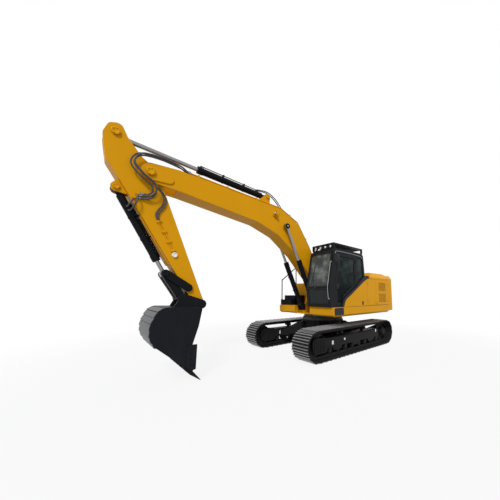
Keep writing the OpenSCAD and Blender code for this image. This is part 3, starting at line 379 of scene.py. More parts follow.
def unit(v):
    """Each vector divided by its own length."""
    return v / np.maximum(np.linalg.norm(v, axis=-1, keepdims=True), 1e-12)


def soft(w, power):
    """A signed power: below 1 it flattens a circle's sides and keeps its corners soft."""
    return np.sign(w) * np.abs(w) ** power


def turns(count):
    """Even steps of one full turn."""
    return np.linspace(0, 2 * np.pi, count, endpoint=False)


def circle(sides):
    """Cosine and sine of even turns, shaped to multiply a ring's two directions."""
    turn = turns(sides)[None, :, None]
    return np.cos(turn), np.sin(turn)


def tube(path, radius, sides):
    """A circle carried along a path: each ring is square to the path, its first direction is the path
    crossed with the machine's crosswise axis, and the radius may differ from ring to ring."""
    path = np.asarray(path, float)
    along = unit(np.gradient(path, axis=0))
    across = unit(np.cross(along, (0.0, 1.0, 0.0)))
    over = np.cross(along, across)
    size = np.broadcast_to(radius, len(path))[:, None, None]
    c, s = circle(sides)
    return loft(path[:, None] + size * (c * across[:, None] + s * over[:, None]))


def hoop(loop, radius, sides=8):
    """A circle carried round a closed loop: rings as in a tube, with the last ring joined to the first."""
    loop = np.asarray(loop, float)
    along = unit(np.roll(loop, -1, 0) - np.roll(loop, 1, 0))
    out = unit(np.cross(loop[1] - loop[0], loop[len(loop) // 3] - loop[0]))
    c, s = circle(sides)
    return loft(loop[:, None] + radius * (c * unit(np.cross(along, out))[:, None] + s * out), True)


def turned(profile, centre, axis=(0, 1, 0), sides=24, closed=False):
    """A profile of (radius, distance along the axis) spun round an axis through the centre.
    A closed profile makes a ring with a hole."""
    profile, axis = np.asarray(profile, float), unit(np.asarray(axis, float))
    path = np.asarray(centre, float) + profile[:, 1:] * axis
    helper = (1, 0, 0) if abs(axis[0]) < 0.9 else (0, 0, 1)
    one = unit(np.cross(axis, np.asarray(helper, float)))
    c, s = circle(sides)
    return loft(path[:, None] + profile[:, :1, None] * (c * one + s * np.cross(axis, one)), closed)


def inset(outline, depth):
    """An outline moved inward: each corner goes along the mean of its two edge normals, further where it is sharper."""
    edge = unit(np.roll(outline, -1, 0) - outline)
    after = np.roll(outline, -1, 0)
    area = np.sum(outline[:, 0] * after[:, 1] - outline[:, 1] * after[:, 0])
    inward = np.stack([-edge[:, 1], edge[:, 0]], -1) * np.sign(area)
    both = unit(inward + np.roll(inward, 1, 0))
    reach = np.maximum(np.sum(both * inward, -1, keepdims=True), 0.4)
    return outline + depth * both / reach


def plate(outline, put, low, high, edge=0.003):
    """An outline raised from low to high in a side view's frame, with a small chamfer on both rims."""
    outline = np.asarray(outline, float)
    small = inset(outline, edge)
    levels = ((small, low), (outline, low + edge), (outline, high - edge), (small, high))
    return loft(np.stack([put(*o.T, h) for o, h in levels]))


def side_plane(origin, degrees):
    """Maps (p, q, y) of a link's own side view to the machine: p along the link, q square to it, y across it."""
    c, s = math.cos(math.radians(degrees)), math.sin(math.radians(degrees))

    def put(p, q, y):
        p, q, y = np.broadcast_arrays(*(np.asarray(k, float) for k in (p, q, y)))
        return np.stack([origin[0] + c * p - s * q, y, origin[1] + s * p + c * q], -1)

    return put


def smooth_line(points, steps=8):
    """A curve through the points: on each stretch a cubic whose slopes follow the neighbouring points."""
    p = np.asarray(points, float)
    a, b, c, d = np.concatenate([p[:1], p[:-2]]), p[:-1], p[1:], np.concatenate([p[2:], p[-1:]])
    t = (np.arange(steps) / steps)[None, :, None]
    a, b, c, d = (k[:, None] for k in (a, b, c, d))
    curve = 0.5 * (2 * b + (c - a) * t + (2 * a - 5 * b + 4 * c - d) * t ** 2 + (3 * b - a - 3 * c + d) * t ** 3)
    return np.concatenate([curve.reshape(-1, p.shape[1]), p[-1:]])


def repeat(shape, placings):
    """One shape at many placings, each a 3 by 4 matrix, worked out for all of them at once."""
    points, faces, run = shape
    placings = np.asarray(placings, float)
    moved = np.einsum("nij,pj->npi", placings[:, :, :3], points) + placings[:, None, :, 3]
    count = len(points)
    return (moved.reshape(-1, 3), [[i + k * count for i in f] for k in range(len(placings)) for f in faces],
            np.tile(run.reshape(-1, 2), (len(placings), 1)))


def at_spots(shape, spots):
    """One shape moved to many spots without a turn."""
    spots = np.asarray(spots, float)
    return repeat(shape, np.concatenate([np.broadcast_to(np.eye(3), (len(spots), 3, 3)), spots[:, :, None]], 2))


def joined(*shapes):
    """Several shapes as one mesh, each shape's face numbers moved past the points before it."""
    starts = np.cumsum([0] + [len(s[0]) for s in shapes])
    faces = [[i + start for i in f] for s, start in zip(shapes, starts) for f in s[1]]
    return np.concatenate([s[0] for s in shapes]), faces, np.concatenate([s[2].reshape(-1, 2) for s in shapes])


def piece(name, shapes, finish, body, stands_for=(), sharp=38, slot=None):
    """Puts a shape, or a list of them, into a mesh, turns its faces outward, gives it a finish, and sets it on a body
    (or on none yet)."""
    points, faces, run = joined(*shapes) if isinstance(shapes, list) else shapes
    mesh = bpy.data.meshes.new(name)
    mesh.from_pydata(points.tolist(), [], faces)
    work = bmesh.new()
    work.from_mesh(mesh)
    bmesh.ops.recalc_face_normals(work, faces=work.faces)
    work.to_mesh(mesh)
    work.free()
    corners = np.empty(len(mesh.loops), np.int32)
    mesh.loops.foreach_get("vertex_index", corners)
    uv = run.reshape(-1, 2)[corners].ravel().astype(np.float32)
    mesh.uv_layers.new(name="run").data.foreach_set("uv", uv)
    mesh.shade_smooth()
    mesh.set_sharp_from_angle(angle=math.radians(sharp))
    mesh.materials.append(finish)
    obj = bpy.data.objects.new(name, mesh)
    bpy.context.collection.objects.link(obj)
    if body:
        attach(obj, body)
    slot = slot or SLOTS.get(finish)
    if stands_for:
        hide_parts(*stands_for)
    print("piece", name, len(faces), "faces on", body)
    return obj


def bolts(spots, axis, size=0.014, high=0.010):
    """Hexagon heads with a washer at each spot, standing along the axis."""
    washer = size * 1.35
    profile = [(washer, 0), (washer, high * 0.25), (size, high * 0.25), (size, high * 0.85), (size * 0.8, high)]
    return at_spots(turned(profile, (0, 0, 0), axis, 6), spots)


def ring_of(count, radius, start=0.0):
    """Points (p, q) spaced evenly on a circle."""
    turn = start + np.arange(count) * 2 * np.pi / count
    return radius * np.stack([np.cos(turn), np.sin(turn)], -1)


def disc(put, p, q, y, out, radius, high, sides=20):
    """A round cover with a chamfer and a shallow dished middle."""
    dish = 0.6 * radius
    profile = [(radius, 0), (radius, high * 0.7), (radius * 0.9, high), (dish, high), (dish * 0.9, high * 0.8),
               (radius * 0.06, high * 0.8)]
    return turned([(r, out * h) for r, h in profile], put(p, q, y), (0, 1, 0), sides)


def tablet(put, p, q, wide, tall, low, high, corner=0.012, edge=0.003):
    """A rectangle with rounded corners raised into a plate: a superellipse of a high power gives the corners."""
    turn = turns(32)
    power = 2 * min(1.0, corner / min(wide, tall) * 1.2)
    x, y = p + wide / 2 * soft(np.cos(turn), power), q + tall / 2 * soft(np.sin(turn), power)
    return plate(np.stack([x, y], -1), put, low, high, edge)


# %% [markdown]
# ## The machine's own frames
# Boom, arm and bucket are easiest to describe along their own length, from pin to pin.
# These mappings carry a side view of each into its place at rest.

# %% Side views of the links
BOOM_FOOT, BOOM_TURN, BOOM_LONG = (0.230, 1.875), 24.07, 5.720
ARM_TURN, ARM_LONG, BUCKET_TURN = -113.1, 2.920, -86.7
on_ground = side_plane((0, 0), 0)
on_boom = side_plane(BOOM_FOOT, BOOM_TURN)
NOSE = on_boom(BOOM_LONG, 0, 0)[[0, 2]]
on_arm = side_plane(NOSE, ARM_TURN)
BUCKET_PIN = on_arm(ARM_LONG, 0, 0)[[0, 2]]
on_bucket = side_plane(BUCKET_PIN, BUCKET_TURN)
BOOM_HALF, ARM_HALF = 0.230, 0.166
# What is fixed on a face starts 0.2 mm off it: the arm's left face and the side covers
ARM_FACE, COVER_FACE = ARM_HALF + 0.0002, 1.3602
print("boom nose", NOSE.round(3), "bucket pin", BUCKET_PIN.round(3))

# %% [markdown]
# ## Hoses round the joint of boom and arm
# Three pressure hoses leave the steel lines on the boom, arch past the nose and end in bosses on the arm.
# They bend when the arm swings; here they are one mesh fixed in place at rest, and only their fittings ride on the boom
# and on the arm. Their route repeats the solids' own points, and the third runs between the first two.
# the arm at the other. Their route repeats the solids' own points, and the third runs between the first two.

# %% Arm hoses
HOSE_RADIUS, BOSS_Y = 0.016, ARM_HALF + 0.022
# A hose starts a little past the pipe's end and stops short of the boss's middle, with a straight lead at both ends
PIPE_GAP, BOSS_GAP, LEAD_OUT, LEAD_IN = 0.0183, 0.0306, 0.080, 0.070
PIPE_END = on_boom(5.1011, 0.5754, 0)[[0, 2]]
LEAVE = np.array([math.cos(math.radians(2.55)), math.sin(math.radians(2.55))])
ROUTES = [
    (0.196, 0.0, (0.450, 0.440),
     [(4.950, 0.215, 4.515), (5.310, 0.275, 4.515), (5.630, 0.295, 4.455), (5.735, 0.300, 4.270),
      (5.590, 0.300, 4.105), (5.380, 0.290, 3.965), (5.340, 0.250, 3.780), (5.450, 0.212, 3.640)]),
    (0.144, 0.0, (0.380, 0.350),
     [(4.950, 0.165, 4.560), (5.300, 0.235, 4.560), (5.665, 0.258, 4.505), (5.785, 0.258, 4.270),
      (5.620, 0.258, 4.060), (5.420, 0.256, 3.915), (5.400, 0.224, 3.800), (5.470, 0.198, 3.730)]),
]
between = [tuple(np.mean([a, b], 0) + (-0.035, 0.030, 0.022)) for a, b in zip(ROUTES[0][3], ROUTES[1][3])]
ROUTES.append((0.170, 0.031, (0.415, 0.395), between))
COLLAR = np.array([0.0195, 0.0195, 0.021, 0.021, 0.0185, 0.0185])
COLLAR_SHARE = np.array([0.0, 0.35, 0.36, 0.7, 0.71, 1.0])[:, None]
hoses, fittings_boom, fittings_arm, lengths = [], [], [], []
for across, raised, boss, over in ROUTES:
    first = PIPE_END + LEAVE * PIPE_GAP + (0, raised)
    second = first + LEAVE * LEAD_OUT
    target = on_arm(*boss, 0)[[0, 2]]
    toward = unit(target - np.array(over[-1])[[0, 2]])
    last = target - toward * BOSS_GAP
    near = last - toward * LEAD_IN
    path = smooth_line([(first[0], across, first[1]), (second[0], across, second[1])] + over
                       + [(near[0], BOSS_Y, near[1]), (last[0], BOSS_Y, last[1])], 10)
    hoses.append(tube(path, HOSE_RADIUS, 14))
    fittings_boom.append(tube(path[0] + COLLAR_SHARE * (path[9] - path[0]), COLLAR, 12))
    fittings_arm.append(tube(path[-1] + COLLAR_SHARE * (path[-11] - path[-1]), COLLAR, 12))
    lengths.append(round(float(np.linalg.norm(np.diff(path, axis=0), axis=1).sum()), 2))
arm_hoses = piece("arm_hose_set", hoses, HOSE, None, ["arm_hoses"])
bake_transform(arm_hoses)
piece("hose_fittings_boom", fittings_boom, PIN_STEEL, "boom")
piece("hose_fittings_arm", fittings_arm, PIN_STEEL, "arm")
print("hoses of", lengths, "m")

# %% [markdown]
# ## Track chains
# Under the shoes runs a chain of forged links, each pair of plates bored for two pins.
# One link is drawn once, as a waisted outline raised into a plate, and placed between every two pins of the loop.
# The loop is two straights and two half circles, walked in equal steps of one pitch.

# %% Chain links, pins and shoe bolts
GAUGE, PITCH_RADIUS, SHOES = 2.360, 0.334, 49
PITCH = (2 * TUMBLERS + 2 * math.pi * PITCH_RADIUS) / SHOES
LINK_Y, SHOE_HALF = 0.1152, 0.2985


def chain_pins():
    """The pins' places (x, z): distance walked along the loop, turned into a point of straight or arc."""
    s = np.arange(SHOES) * PITCH
    arc = math.pi * PITCH_RADIUS
    half = TUMBLERS / 2
    top, low = s < TUMBLERS, (s >= TUMBLERS + arc) & (s < 2 * TUMBLERS + arc)
    front = (s >= TUMBLERS) & (s < TUMBLERS + arc)
    turn = np.select([top, front, low], [np.pi / 2, np.pi / 2 - (s - TUMBLERS) / PITCH_RADIUS, -np.pi / 2],
                     -np.pi / 2 - (s - 2 * TUMBLERS - arc) / PITCH_RADIUS)
    centre = np.select([top, front, low], [s - half, half, half - (s - TUMBLERS - arc)], -half)
    return np.stack([centre + PITCH_RADIUS * np.cos(turn), AXLE_Z + PITCH_RADIUS * np.sin(turn)], -1)


pins = chain_pins()
ahead = np.roll(pins, -1, 0)
run = unit(ahead - pins)
middle = (pins + ahead) / 2


def along_chain(points, across):
    """Placings that carry a shape drawn with x along the chain and z outward to each given point of the loop."""
    m = np.zeros((len(points), 3, 4))
    m[:, 0, 0], m[:, 2, 0], m[:, 1, 1] = run[:, 0], run[:, 1], 1
    m[:, 0, 2], m[:, 2, 2] = -run[:, 1], run[:, 0]
    m[:, 0, 3], m[:, 1, 3], m[:, 2, 3] = points[:, 0], across, points[:, 1]
    return m


LINK = [(-0.120, -0.012), (-0.104, -0.040), (-0.070, -0.044), (-0.030, -0.046), (0.030, -0.046),
        (0.070, -0.044), (0.104, -0.040), (0.120, -0.012), (0.112, 0.026), (0.060, 0.038), (0.0, 0.020),
        (-0.060, 0.038), (-0.112, 0.026)]
SIDE_BAR = np.array([(-0.0918, 0.0640), (-0.0852, 0.0824), (-0.0696, 0.0824), (-0.0606, 0.0690),
                     (-0.0640, 0.0665), (-0.0715, 0.0770), (-0.0835, 0.0770), (-0.0885, 0.0625)])
MID_BAR = np.array([(-0.0155, 0.0640), (-0.0084, 0.0785), (0.0084, 0.0785), (0.0155, 0.0640),
                    (0.0120, 0.0630), (0.0060, 0.0750), (-0.0060, 0.0750), (-0.0120, 0.0630)])
link = plate(np.array(LINK) * (0.80, 1.0), on_ground, 0.0, 0.009, 0.002)
bars = [plate(outline, on_ground, -SHOE_HALF, SHOE_HALF, 0.001)
        for outline in (SIDE_BAR, MID_BAR, SIDE_BAR[::-1] * (-1, 1))]
pin_ends = [(e, turned([(0.021, 0), (0.021, e * 0.012), (0.017, e * 0.015)], (0, 0, 0), (0, 1, 0), 10))
            for e in (1, -1)]
shoe_bolts = bolts([(x, y, 0.0582) for x in (-0.037, 0.037) for y in (-0.065, 0.065)], (0, 0, 1), 0.013, 0.011)
for side, name in ((1, "left"), (-1, "right")):
    centre = side * GAUGE / 2
    parts = [repeat(link, along_chain(middle, centre + e)) for e in (LINK_Y, -LINK_Y - 0.009)]
    parts += [repeat(pin, along_chain(pins, centre + e * LINK_Y)) for e, pin in pin_ends]
    piece("chain_links_" + name, parts, TRACK, "undercarriage")
    piece("worn_grousers_" + name, [repeat(b, along_chain(middle, centre)) for b in bars], WORN_STEEL, "undercarriage")
    piece("shoe_bolts_" + name, repeat(shoe_bolts, along_chain(middle, centre)), TRACK, "undercarriage")

# %% [markdown]
# ## Bolts and covers of the undercarriage
# What shows between the track's two runs is a frame with hub covers, bolt circles and bare plates.
# Each bolt circle is a ring of points in the side view, raised by one small head.

# %% Undercarriage fasteners
REAR, FRONT = (-TUMBLERS / 2, AXLE_Z), (TUMBLERS / 2, AXLE_Z)
YOKE = np.array([(1.20, 0.36), (1.20, 0.50), (1.32, 0.36), (1.32, 0.50)])
GUARD = np.array([(x + e, 0.245) for x in (-0.9, 0.0, 0.9) for e in (-0.15, 0.15)])
# Each group: its points, how far out of the track's middle plane it stands, and its heads' size and height
GROUPS = [(ring_of(12, 0.132) + REAR, 0.130, 0.012, 0.012), (ring_of(6, 0.085) + REAR, 0.168, 0.010, 0.010),
          (ring_of(8, 0.070) + FRONT, 0.1398, 0.010, 0.010),
          (YOKE, 0.170, 0.015, 0.014), (GUARD, 0.170, 0.013, 0.012)]
piece("undercarriage_bolts", [bolts(on_ground(*spots.T, s * (GAUGE / 2 + out)), (0, s, 0), size, high)
                              for s in (1, -1) for spots, out, size, high in GROUPS], TRACK, "undercarriage")
swing_ring = np.column_stack([ring_of(40, 0.670), np.full(40, 0.970)])
piece("swing_ring_bolts", bolts(swing_ring, (0, 0, 1), 0.014, 0.020), TRACK, "undercarriage")

# Bare plates stand on the side of each track frame that faces left
LEFT_FRAME, RIGHT_FRAME = (1.3502, 1.356), (-1.0098, -1.004)
plates = [tablet(on_ground, 1.12, 0.42, 0.075, 0.11, *LEFT_FRAME),
          tablet(on_ground, -1.23, 0.51, 0.06, 0.10, *LEFT_FRAME),
          disc(on_ground, 0.57, 0.45, LEFT_FRAME[0], 1, 0.032, 0.012),
          tablet(on_ground, 1.12, 0.42, 0.075, 0.11, *RIGHT_FRAME),
          tablet(on_ground, 0.1, 0.47, 0.06, 0.08, *RIGHT_FRAME)]
piece("bare_plates", plates, PALE_PLATE, "undercarriage")
guards = []
for side in (1, -1):
    sheet, ribs = (sorted(side * (GAUGE / 2 + out) for out in layer) for layer in ((0.1702, 0.186), (0.1855, 0.198)))
    guards.append(tablet(on_ground, 1.63, 0.40, 0.46, 0.40, *sheet, 0.05, 0.006))
    guards += [tablet(on_ground, x, 0.40, 0.022, 0.34, *ribs, 0.01) for x in (1.47, 1.55, 1.63, 1.71, 1.79)]
piece("front_guards", guards, CHARCOAL, "undercarriage")

# %% [markdown]
# ## Pins and their caps
# Every hinge of the linkage turns on a steel pin, and a bolted cap keeps the pin from walking out.
# Caps are turned discs with a dished middle. Each rides on the link that holds the pin.


# %% Pin caps
def pin_caps(pin, half, radius, high=0.016, count=4, put=on_ground):
    """A cap on both ends of a pin that is 2 * half long, each with a ring of bolts."""
    ring = ring_of(count, radius * 0.75, 0.4) + pin
    ends = []
    for side in (1, -1):
        ends.append(disc(put, *pin, side * half, side, radius, high, 28))
        ends.append(bolts(put(*ring.T, side * (half + high)), (0, side, 0), radius * 0.11, min(0.007, high * 0.7)))
    return joined(*ends)


ARM_FOOT, ARM_TIP = (2.500, 4.6293), (6.0424, 4.8260)
CURL_FOOT, CURL_TIP = (5.9593, 3.7798), (5.0487, 2.1700)
LIFT_FOOT, LIFT_TIP, LIFT_Y = (0.755, 1.400), (1.9299, 3.7996), 0.314
IDLER_PIN = (4.5989, 1.8802)
CAPS = [
    ("upper", CHARCOAL, "upper", [pin_caps(BOOM_FOOT, 0.3162, 0.080), pin_caps(LIFT_FOOT, 0.3882, 0.062, 0.006)]),
    ("boom", YELLOW, "boom", [pin_caps((BOOM_LONG, 0), 0.2702, 0.082, count=6, put=on_boom),
                              pin_caps(ARM_FOOT, 0.1122, 0.060)]),
    ("arm", YELLOW, "arm", [pin_caps(ARM_TIP, 0.1842, 0.074), pin_caps(CURL_FOOT, 0.1082, 0.058)]),
    ("bucket", CHARCOAL, "arm", [pin_caps(BUCKET_PIN, 0.2182, 0.068)]),
    ("links", CHARCOAL, "idler_links", [pin_caps(IDLER_PIN, 0.2042, 0.066), pin_caps(CURL_TIP, 0.2042, 0.062)]),
    ("lift", CHARCOAL, "boom_rods", [pin_caps(LIFT_TIP, 0.3602, 0.080, 0.014)]),
]
for name, finish, body, shapes in CAPS:
    piece("pin_caps_" + name, shapes, finish, body)
piece("pin_centres_lift", [disc(on_ground, *LIFT_TIP, s * 0.3712, s, 0.030, 0.010, 20) for s in (1, -1)],
      PIN_STEEL, "boom_rods")

# %% [markdown]
# ## Cylinder lines
# A hydraulic barrel carries steel lines to its far end, held by bands, and its gland is bolted on.
# The line is a tube along a short route in the cylinder's own side view, so one function dresses all of them.


# %% Lines, bands and gland bolts
def along_cylinder(foot, tip):
    """The side view of a cylinder, with p running from its foot's pin to its tip's."""
    return side_plane(foot, math.degrees(math.atan2(tip[1] - foot[1], tip[0] - foot[0])))


def dressed(foot, tip, y, long, radius, side, spread, start):
    """Steel lines along a barrel on one side of it, two bands round it and eight bolts on its gland."""
    put = along_cylinder(foot, tip)
    axis = put(1, 0, 0) - put(0, 0, 0)
    stop = long - 0.065
    p = np.concatenate([start + np.array([0, 0.004, 0.05, 0.1]), stop - np.array([0.1, 0.05, 0.004, 0])])
    q = radius + np.array([-0.012, 0.010, 0.018, 0.020, 0.020, 0.020, 0.014, -0.004])
    made = []
    for e in spread:
        made.append(tube(smooth_line(put(p, side * q, y + e), 5), 0.0115, 10))
        made += [tube(put(nut, side * (radius + 0.012), y + e), 0.019, 6)
                 for nut in ((start - 0.012, start + 0.02), (stop - 0.02, stop + 0.014))]
    inner, outer = radius + 0.0005, radius + 0.006
    band = [(inner, -0.017), (outer, -0.017), (outer, 0.017), (inner, 0.017)]
    for share in (0.38, 0.68):
        made.append(turned(band, put(long * share, 0, y), axis, 32, True))
        made.append(tablet(put, long * share, side * (radius + 0.022), 0.034, 0.048,
                           y + min(spread) - 0.024, y + max(spread) + 0.024, 0.008))
    ring = ring_of(8, radius * 0.86)
    made.append(bolts(put(np.full(8, long + 0.0003), ring[:, 0], y + ring[:, 1]), axis, 0.0095, 0.009))
    return joined(*made)


piece("arm_cylinder_lines", dressed(ARM_FOOT, ARM_TIP, 0.0, 1.990, 0.082, 1, (-0.036, 0.036), 0.36),
      CHARCOAL, "arm_barrel")
piece("bucket_cylinder_lines", dressed(CURL_FOOT, CURL_TIP, 0.0, 1.545, 0.070, -1, (-0.030, 0.030), 0.34),
      CHARCOAL, "bucket_barrel")
lift_lines = [dressed(LIFT_FOOT, LIFT_TIP, s * LIFT_Y, 1.560, 0.074, -1, (0.0,), 0.30) for s in (1, -1)]
piece("boom_cylinder_lines", lift_lines, CHARCOAL, "boom_barrels")

# %% [markdown]
# ## Short hoses at the cylinders
# Where a steel line on a link meets a cylinder that rocks, a short hose takes the movement.
# Each is a tube through a few chosen points, fixed in place at rest.

# %% Short hoses
on_arm_cylinder = along_cylinder(ARM_FOOT, ARM_TIP)
OVER_FOOT = np.array([(3.30, 1.735), (3.15, 1.765), (2.95, 1.750), (2.75, 1.680), (2.55, 1.580), (2.40, 1.535),
                      (2.25, 1.525)])
arcs = []
for e, tail in ((0.036, 0.095), (-0.036, 0.035)):
    near = on_arm_cylinder([0.372, 0.30], [0.094, 0.128], e)
    route = np.concatenate([near, on_boom(*OVER_FOOT.T, np.linspace(e, tail, 7))])
    arcs.append(tube(smooth_line(route, 8), 0.015, 12))
short_hoses = piece("arm_cylinder_hoses", arcs, HOSE, None)
tuple(on_boom(2.75, 1.68, 0))
tuple(on_boom(3.20, 1.76, 0))
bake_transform(short_hoses)
BOOM_AHEAD, BOOM_UP = on_boom(1, 0, 0) - on_boom(0, 0, 0), on_boom(0, 1, 0) - on_boom(0, 0, 0)
piece("hose_block_boom", [tablet(on_boom, 2.20, 1.500, 0.12, 0.07, 0.0, 0.13, 0.02, 0.006),
                          bolts(on_boom([2.17, 2.23], 1.534, 0.065), BOOM_UP, 0.011)], YELLOW, "boom")

CURL_ROUTES = [[(0.474, 0.456, 0.192), (0.520, 0.500, 0.236), (0.575, 0.560, 0.236), (0.604, 0.600, 0.190),
                (0.594, 0.606, 0.120), (0.578, 0.598, 0.078)],
               [(0.408, 0.362, 0.192), (0.500, 0.400, 0.246), (0.610, 0.490, 0.256), (0.680, 0.575, 0.200),
                (0.668, 0.598, 0.125), (0.650, 0.592, 0.078)]]
arcs = [tube(smooth_line(on_arm(*np.array(r).T), 8), 0.014, 12) for r in CURL_ROUTES]
curl_hoses = piece("bucket_cylinder_hoses", arcs, HOSE, None)
tuple(on_arm(0.50, 0.45, 0.22))
tuple(on_arm(0.62, 0.60, 0.14))
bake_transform(curl_hoses)

# %% [markdown]
# ## Lines on the arm
# Two branches of hose curl over the arm's left face and go on as steel lines to a round cover.
# Three thin lines run along the arm's upper edge, beside the bucket cylinder.

# %% Arm lines
PAIR = (0.0, 0.034)
BRANCH = np.array([(0.270, -0.020), (0.330, -0.042), (0.430, -0.066), (0.560, -0.062), (0.680, 0.020),
                   (0.760, 0.130), (0.850, 0.196), (0.960, 0.202)])
branches = [on_arm(BRANCH[:, 0] + g, BRANCH[:, 1] - g, ARM_HALF + 0.018) for g in PAIR]
piece("arm_branch_hose", [tube(smooth_line(b, 8), 0.013, 12) for b in branches], HOSE, "arm")
edge_p = np.array([0.80, 0.84, 0.90, 1.40, 1.82, 1.87, 1.90])
edge_q = 0.515 - (edge_p - 0.33) * 0.1483 + np.array([-0.02, 0.012, 0.018, 0.018, 0.018, 0.012, -0.02])
made = [tube(smooth_line(on_arm(edge_p, edge_q, y), 5), 0.010, 10) for y in (0.138, 0.108, -0.138)]
made += [tube(on_arm([0.95, 1.66], [0.202 - g, 0.152 - g], ARM_HALF + 0.012), 0.010, 10) for g in PAIR]
made += [tablet(on_arm, p, 0.185 - (p - 0.95) * 0.07, 0.05, 0.10, ARM_FACE, ARM_HALF + 0.027)
         for p in (0.98, 1.20, 1.42, 1.62)]
made += [disc(on_arm, 0.262, -0.018, ARM_FACE, 1, 0.040, 0.036), disc(on_arm, 0.415, 0.395, ARM_FACE, 1, 0.030, 0.046)]
piece("arm_steel_lines", made, YELLOW, "arm")
COVER = (1.720, 0.140)
cover_ring = ring_of(6, 0.041) + COVER
piece("arm_round_cover", [disc(on_arm, *COVER, ARM_FACE, 1, 0.055, 0.030),
                          bolts(on_arm(*cover_ring.T, ARM_FACE + 0.030), (0, 1, 0), 0.006, 0.006)], PALE_PLATE, "arm")

# %% [markdown]
# ## Work lamps
# One lamp sits in a bracket on the boom's left side and four on the cab's roof. A lens is a shallow dome in a rim.


# %% Lamps
def lamp(centre, axis, radius, deep=0.012):
    """A rim and a domed lens, both turned about the lamp's own axis: two shapes, because they differ in finish."""
    rim = [(0.8, -0.004), (1.06, -0.004), (1.06, deep), (0.9, deep), (0.88, deep * 0.4), (0.8, deep * 0.4)]
    turn = np.linspace(0, np.pi / 2, 7)[:-1]
    dome = np.column_stack([0.88 * np.cos(turn), deep * (0.35 + 0.6 * np.sin(turn))])
    lens = [(0.88, -0.002)] + dome.tolist() + [(0.03, deep * 0.95)]
    return [turned(np.array(profile) * (radius, 1), centre, axis, 28) for profile in (rim, lens)]


rim, lens = lamp(on_boom(2.8532, 1.185, BOOM_HALF + 0.0623), BOOM_AHEAD, 0.052)
piece("boom_lamp_rim", rim, PLASTIC, "boom")
piece("boom_lamp_lens", lens, LENS, "boom")
cab_lamps = [lamp((0.9112, y, 3.202), (1, 0, 0), 0.043) for y in (0.56, 0.76, 0.96, 1.16)]
piece("cab_lamp_rims", [rim for rim, _ in cab_lamps], PLASTIC, "upper")
piece("cab_lamp_lenses", [lens for _, lens in cab_lamps], LENS, "upper")

# %% [markdown]
# ## Cab fittings
# Panes are held in rubber. A seal is a thin round section carried round the pane's own outline, closed on itself.
# The windscreen's front is two flat planes that meet at the knee, so its seal takes its depth from the height.

# %% Window seals, wiper and handles
CAB_FLOOR, KNEE, CAB_TOP, RAIL_Y = 1.382, 1.9482, 3.085, 1.288


def round_corners(corners, radius, steps=6):
    """A closed outline with each corner replaced by a curve that leaves and meets its edges at that distance."""
    c = np.asarray(corners, float)
    before, after = unit(np.roll(c, 1, 0) - c), unit(np.roll(c, -1, 0) - c)
    t = np.linspace(0, 1, steps)[None, :, None]
    a, b, c = (k[:, None] for k in (c + before * radius, c + after * radius, c))
    return ((1 - t) ** 2 * a + 2 * t * (1 - t) * c + t ** 2 * b).reshape(-1, c.shape[-1])


def cab_front(z):
    """The cab's front: x grows from the sill to the knee and falls from the knee to the roof."""
    return np.interp(z, [CAB_FLOOR, KNEE, CAB_TOP], [1.150, 1.200, 0.975])


def on_front(y, z, off):
    """Points at given y and z that stand off the cab's front."""
    return np.stack(np.broadcast_arrays(cab_front(z) + off, y, z), -1)


def points_of(mesh):
    """All points of a mesh as one array."""
    v = np.empty(len(mesh.vertices) * 3)
    mesh.vertices.foreach_get("co", v)
    return v.reshape(-1, 3)


def pane_outline(node, low, high):
    """The corners of a flat pane that faces sideways, from its node's own points between two x values, in order
    round it."""
    v = points_of(cad_nodes[node].data)
    v = v[(v[:, 0] > low) & (v[:, 0] < high) & (v[:, 1] > 1.25)]
    v = v[v[:, 1] > v[:, 1].max() - 0.001]
    middle = v.mean(0)
    return v[np.argsort(np.arctan2(v[:, 2] - middle[2], v[:, 0] - middle[0]))]


def facing_front(p, q, h):
    """Maps an outline of (y, z) that is raised towards the front."""
    return np.stack(np.broadcast_arrays(h, p, q), -1)


def facing_up(p, q, h):
    """Maps an outline of (x, y) that is raised upward."""
    return np.stack(np.broadcast_arrays(p, q, h), -1)


seals = []
for z0, z1 in ((KNEE + 0.03, CAB_TOP - 0.09), (CAB_FLOOR + 0.09, KNEE - 0.03)):
    loop = round_corners([(0.470, z0), (1.250, z0), (1.250, z1), (0.470, z1)], 0.06)
    seals.append(hoop(on_front(*loop.T, 0.002), 0.013))
seals.append(hoop(pane_outline("cab_glass", -0.7, 0.0) + (0, 0.012, 0), 0.012))
piece("window_seals", seals, RUBBER, "upper")
piece("door_seal", hoop(pane_outline("door_glass", -1, 2) + (0, 0.012, 0), 0.012), RUBBER, "cab_door")

blade_z = KNEE + np.linspace(0.13, 0.71, 9)
blade = on_front(0.62 + 0.12 * (blade_z - blade_z[0]), blade_z, 0.022)
sweep = on_front(np.linspace(0.80, 0.654, 5), KNEE + np.array([-0.005, 0.005, 0.07, 0.27, 0.42]),
                 np.array([0.004, 0.03, 0.036, 0.036, 0.024]))
piece("wiper", [tube(blade, 0.009, 8), tube(smooth_line(sweep, 5), np.linspace(0.012, 0.007, 21), 8),
                turned([(0.026, 0), (0.026, 0.03), (0.02, 0.038)], (1.196, 0.80, KNEE - 0.002), (1, 0, 0), 16)],
      PLASTIC, "upper")

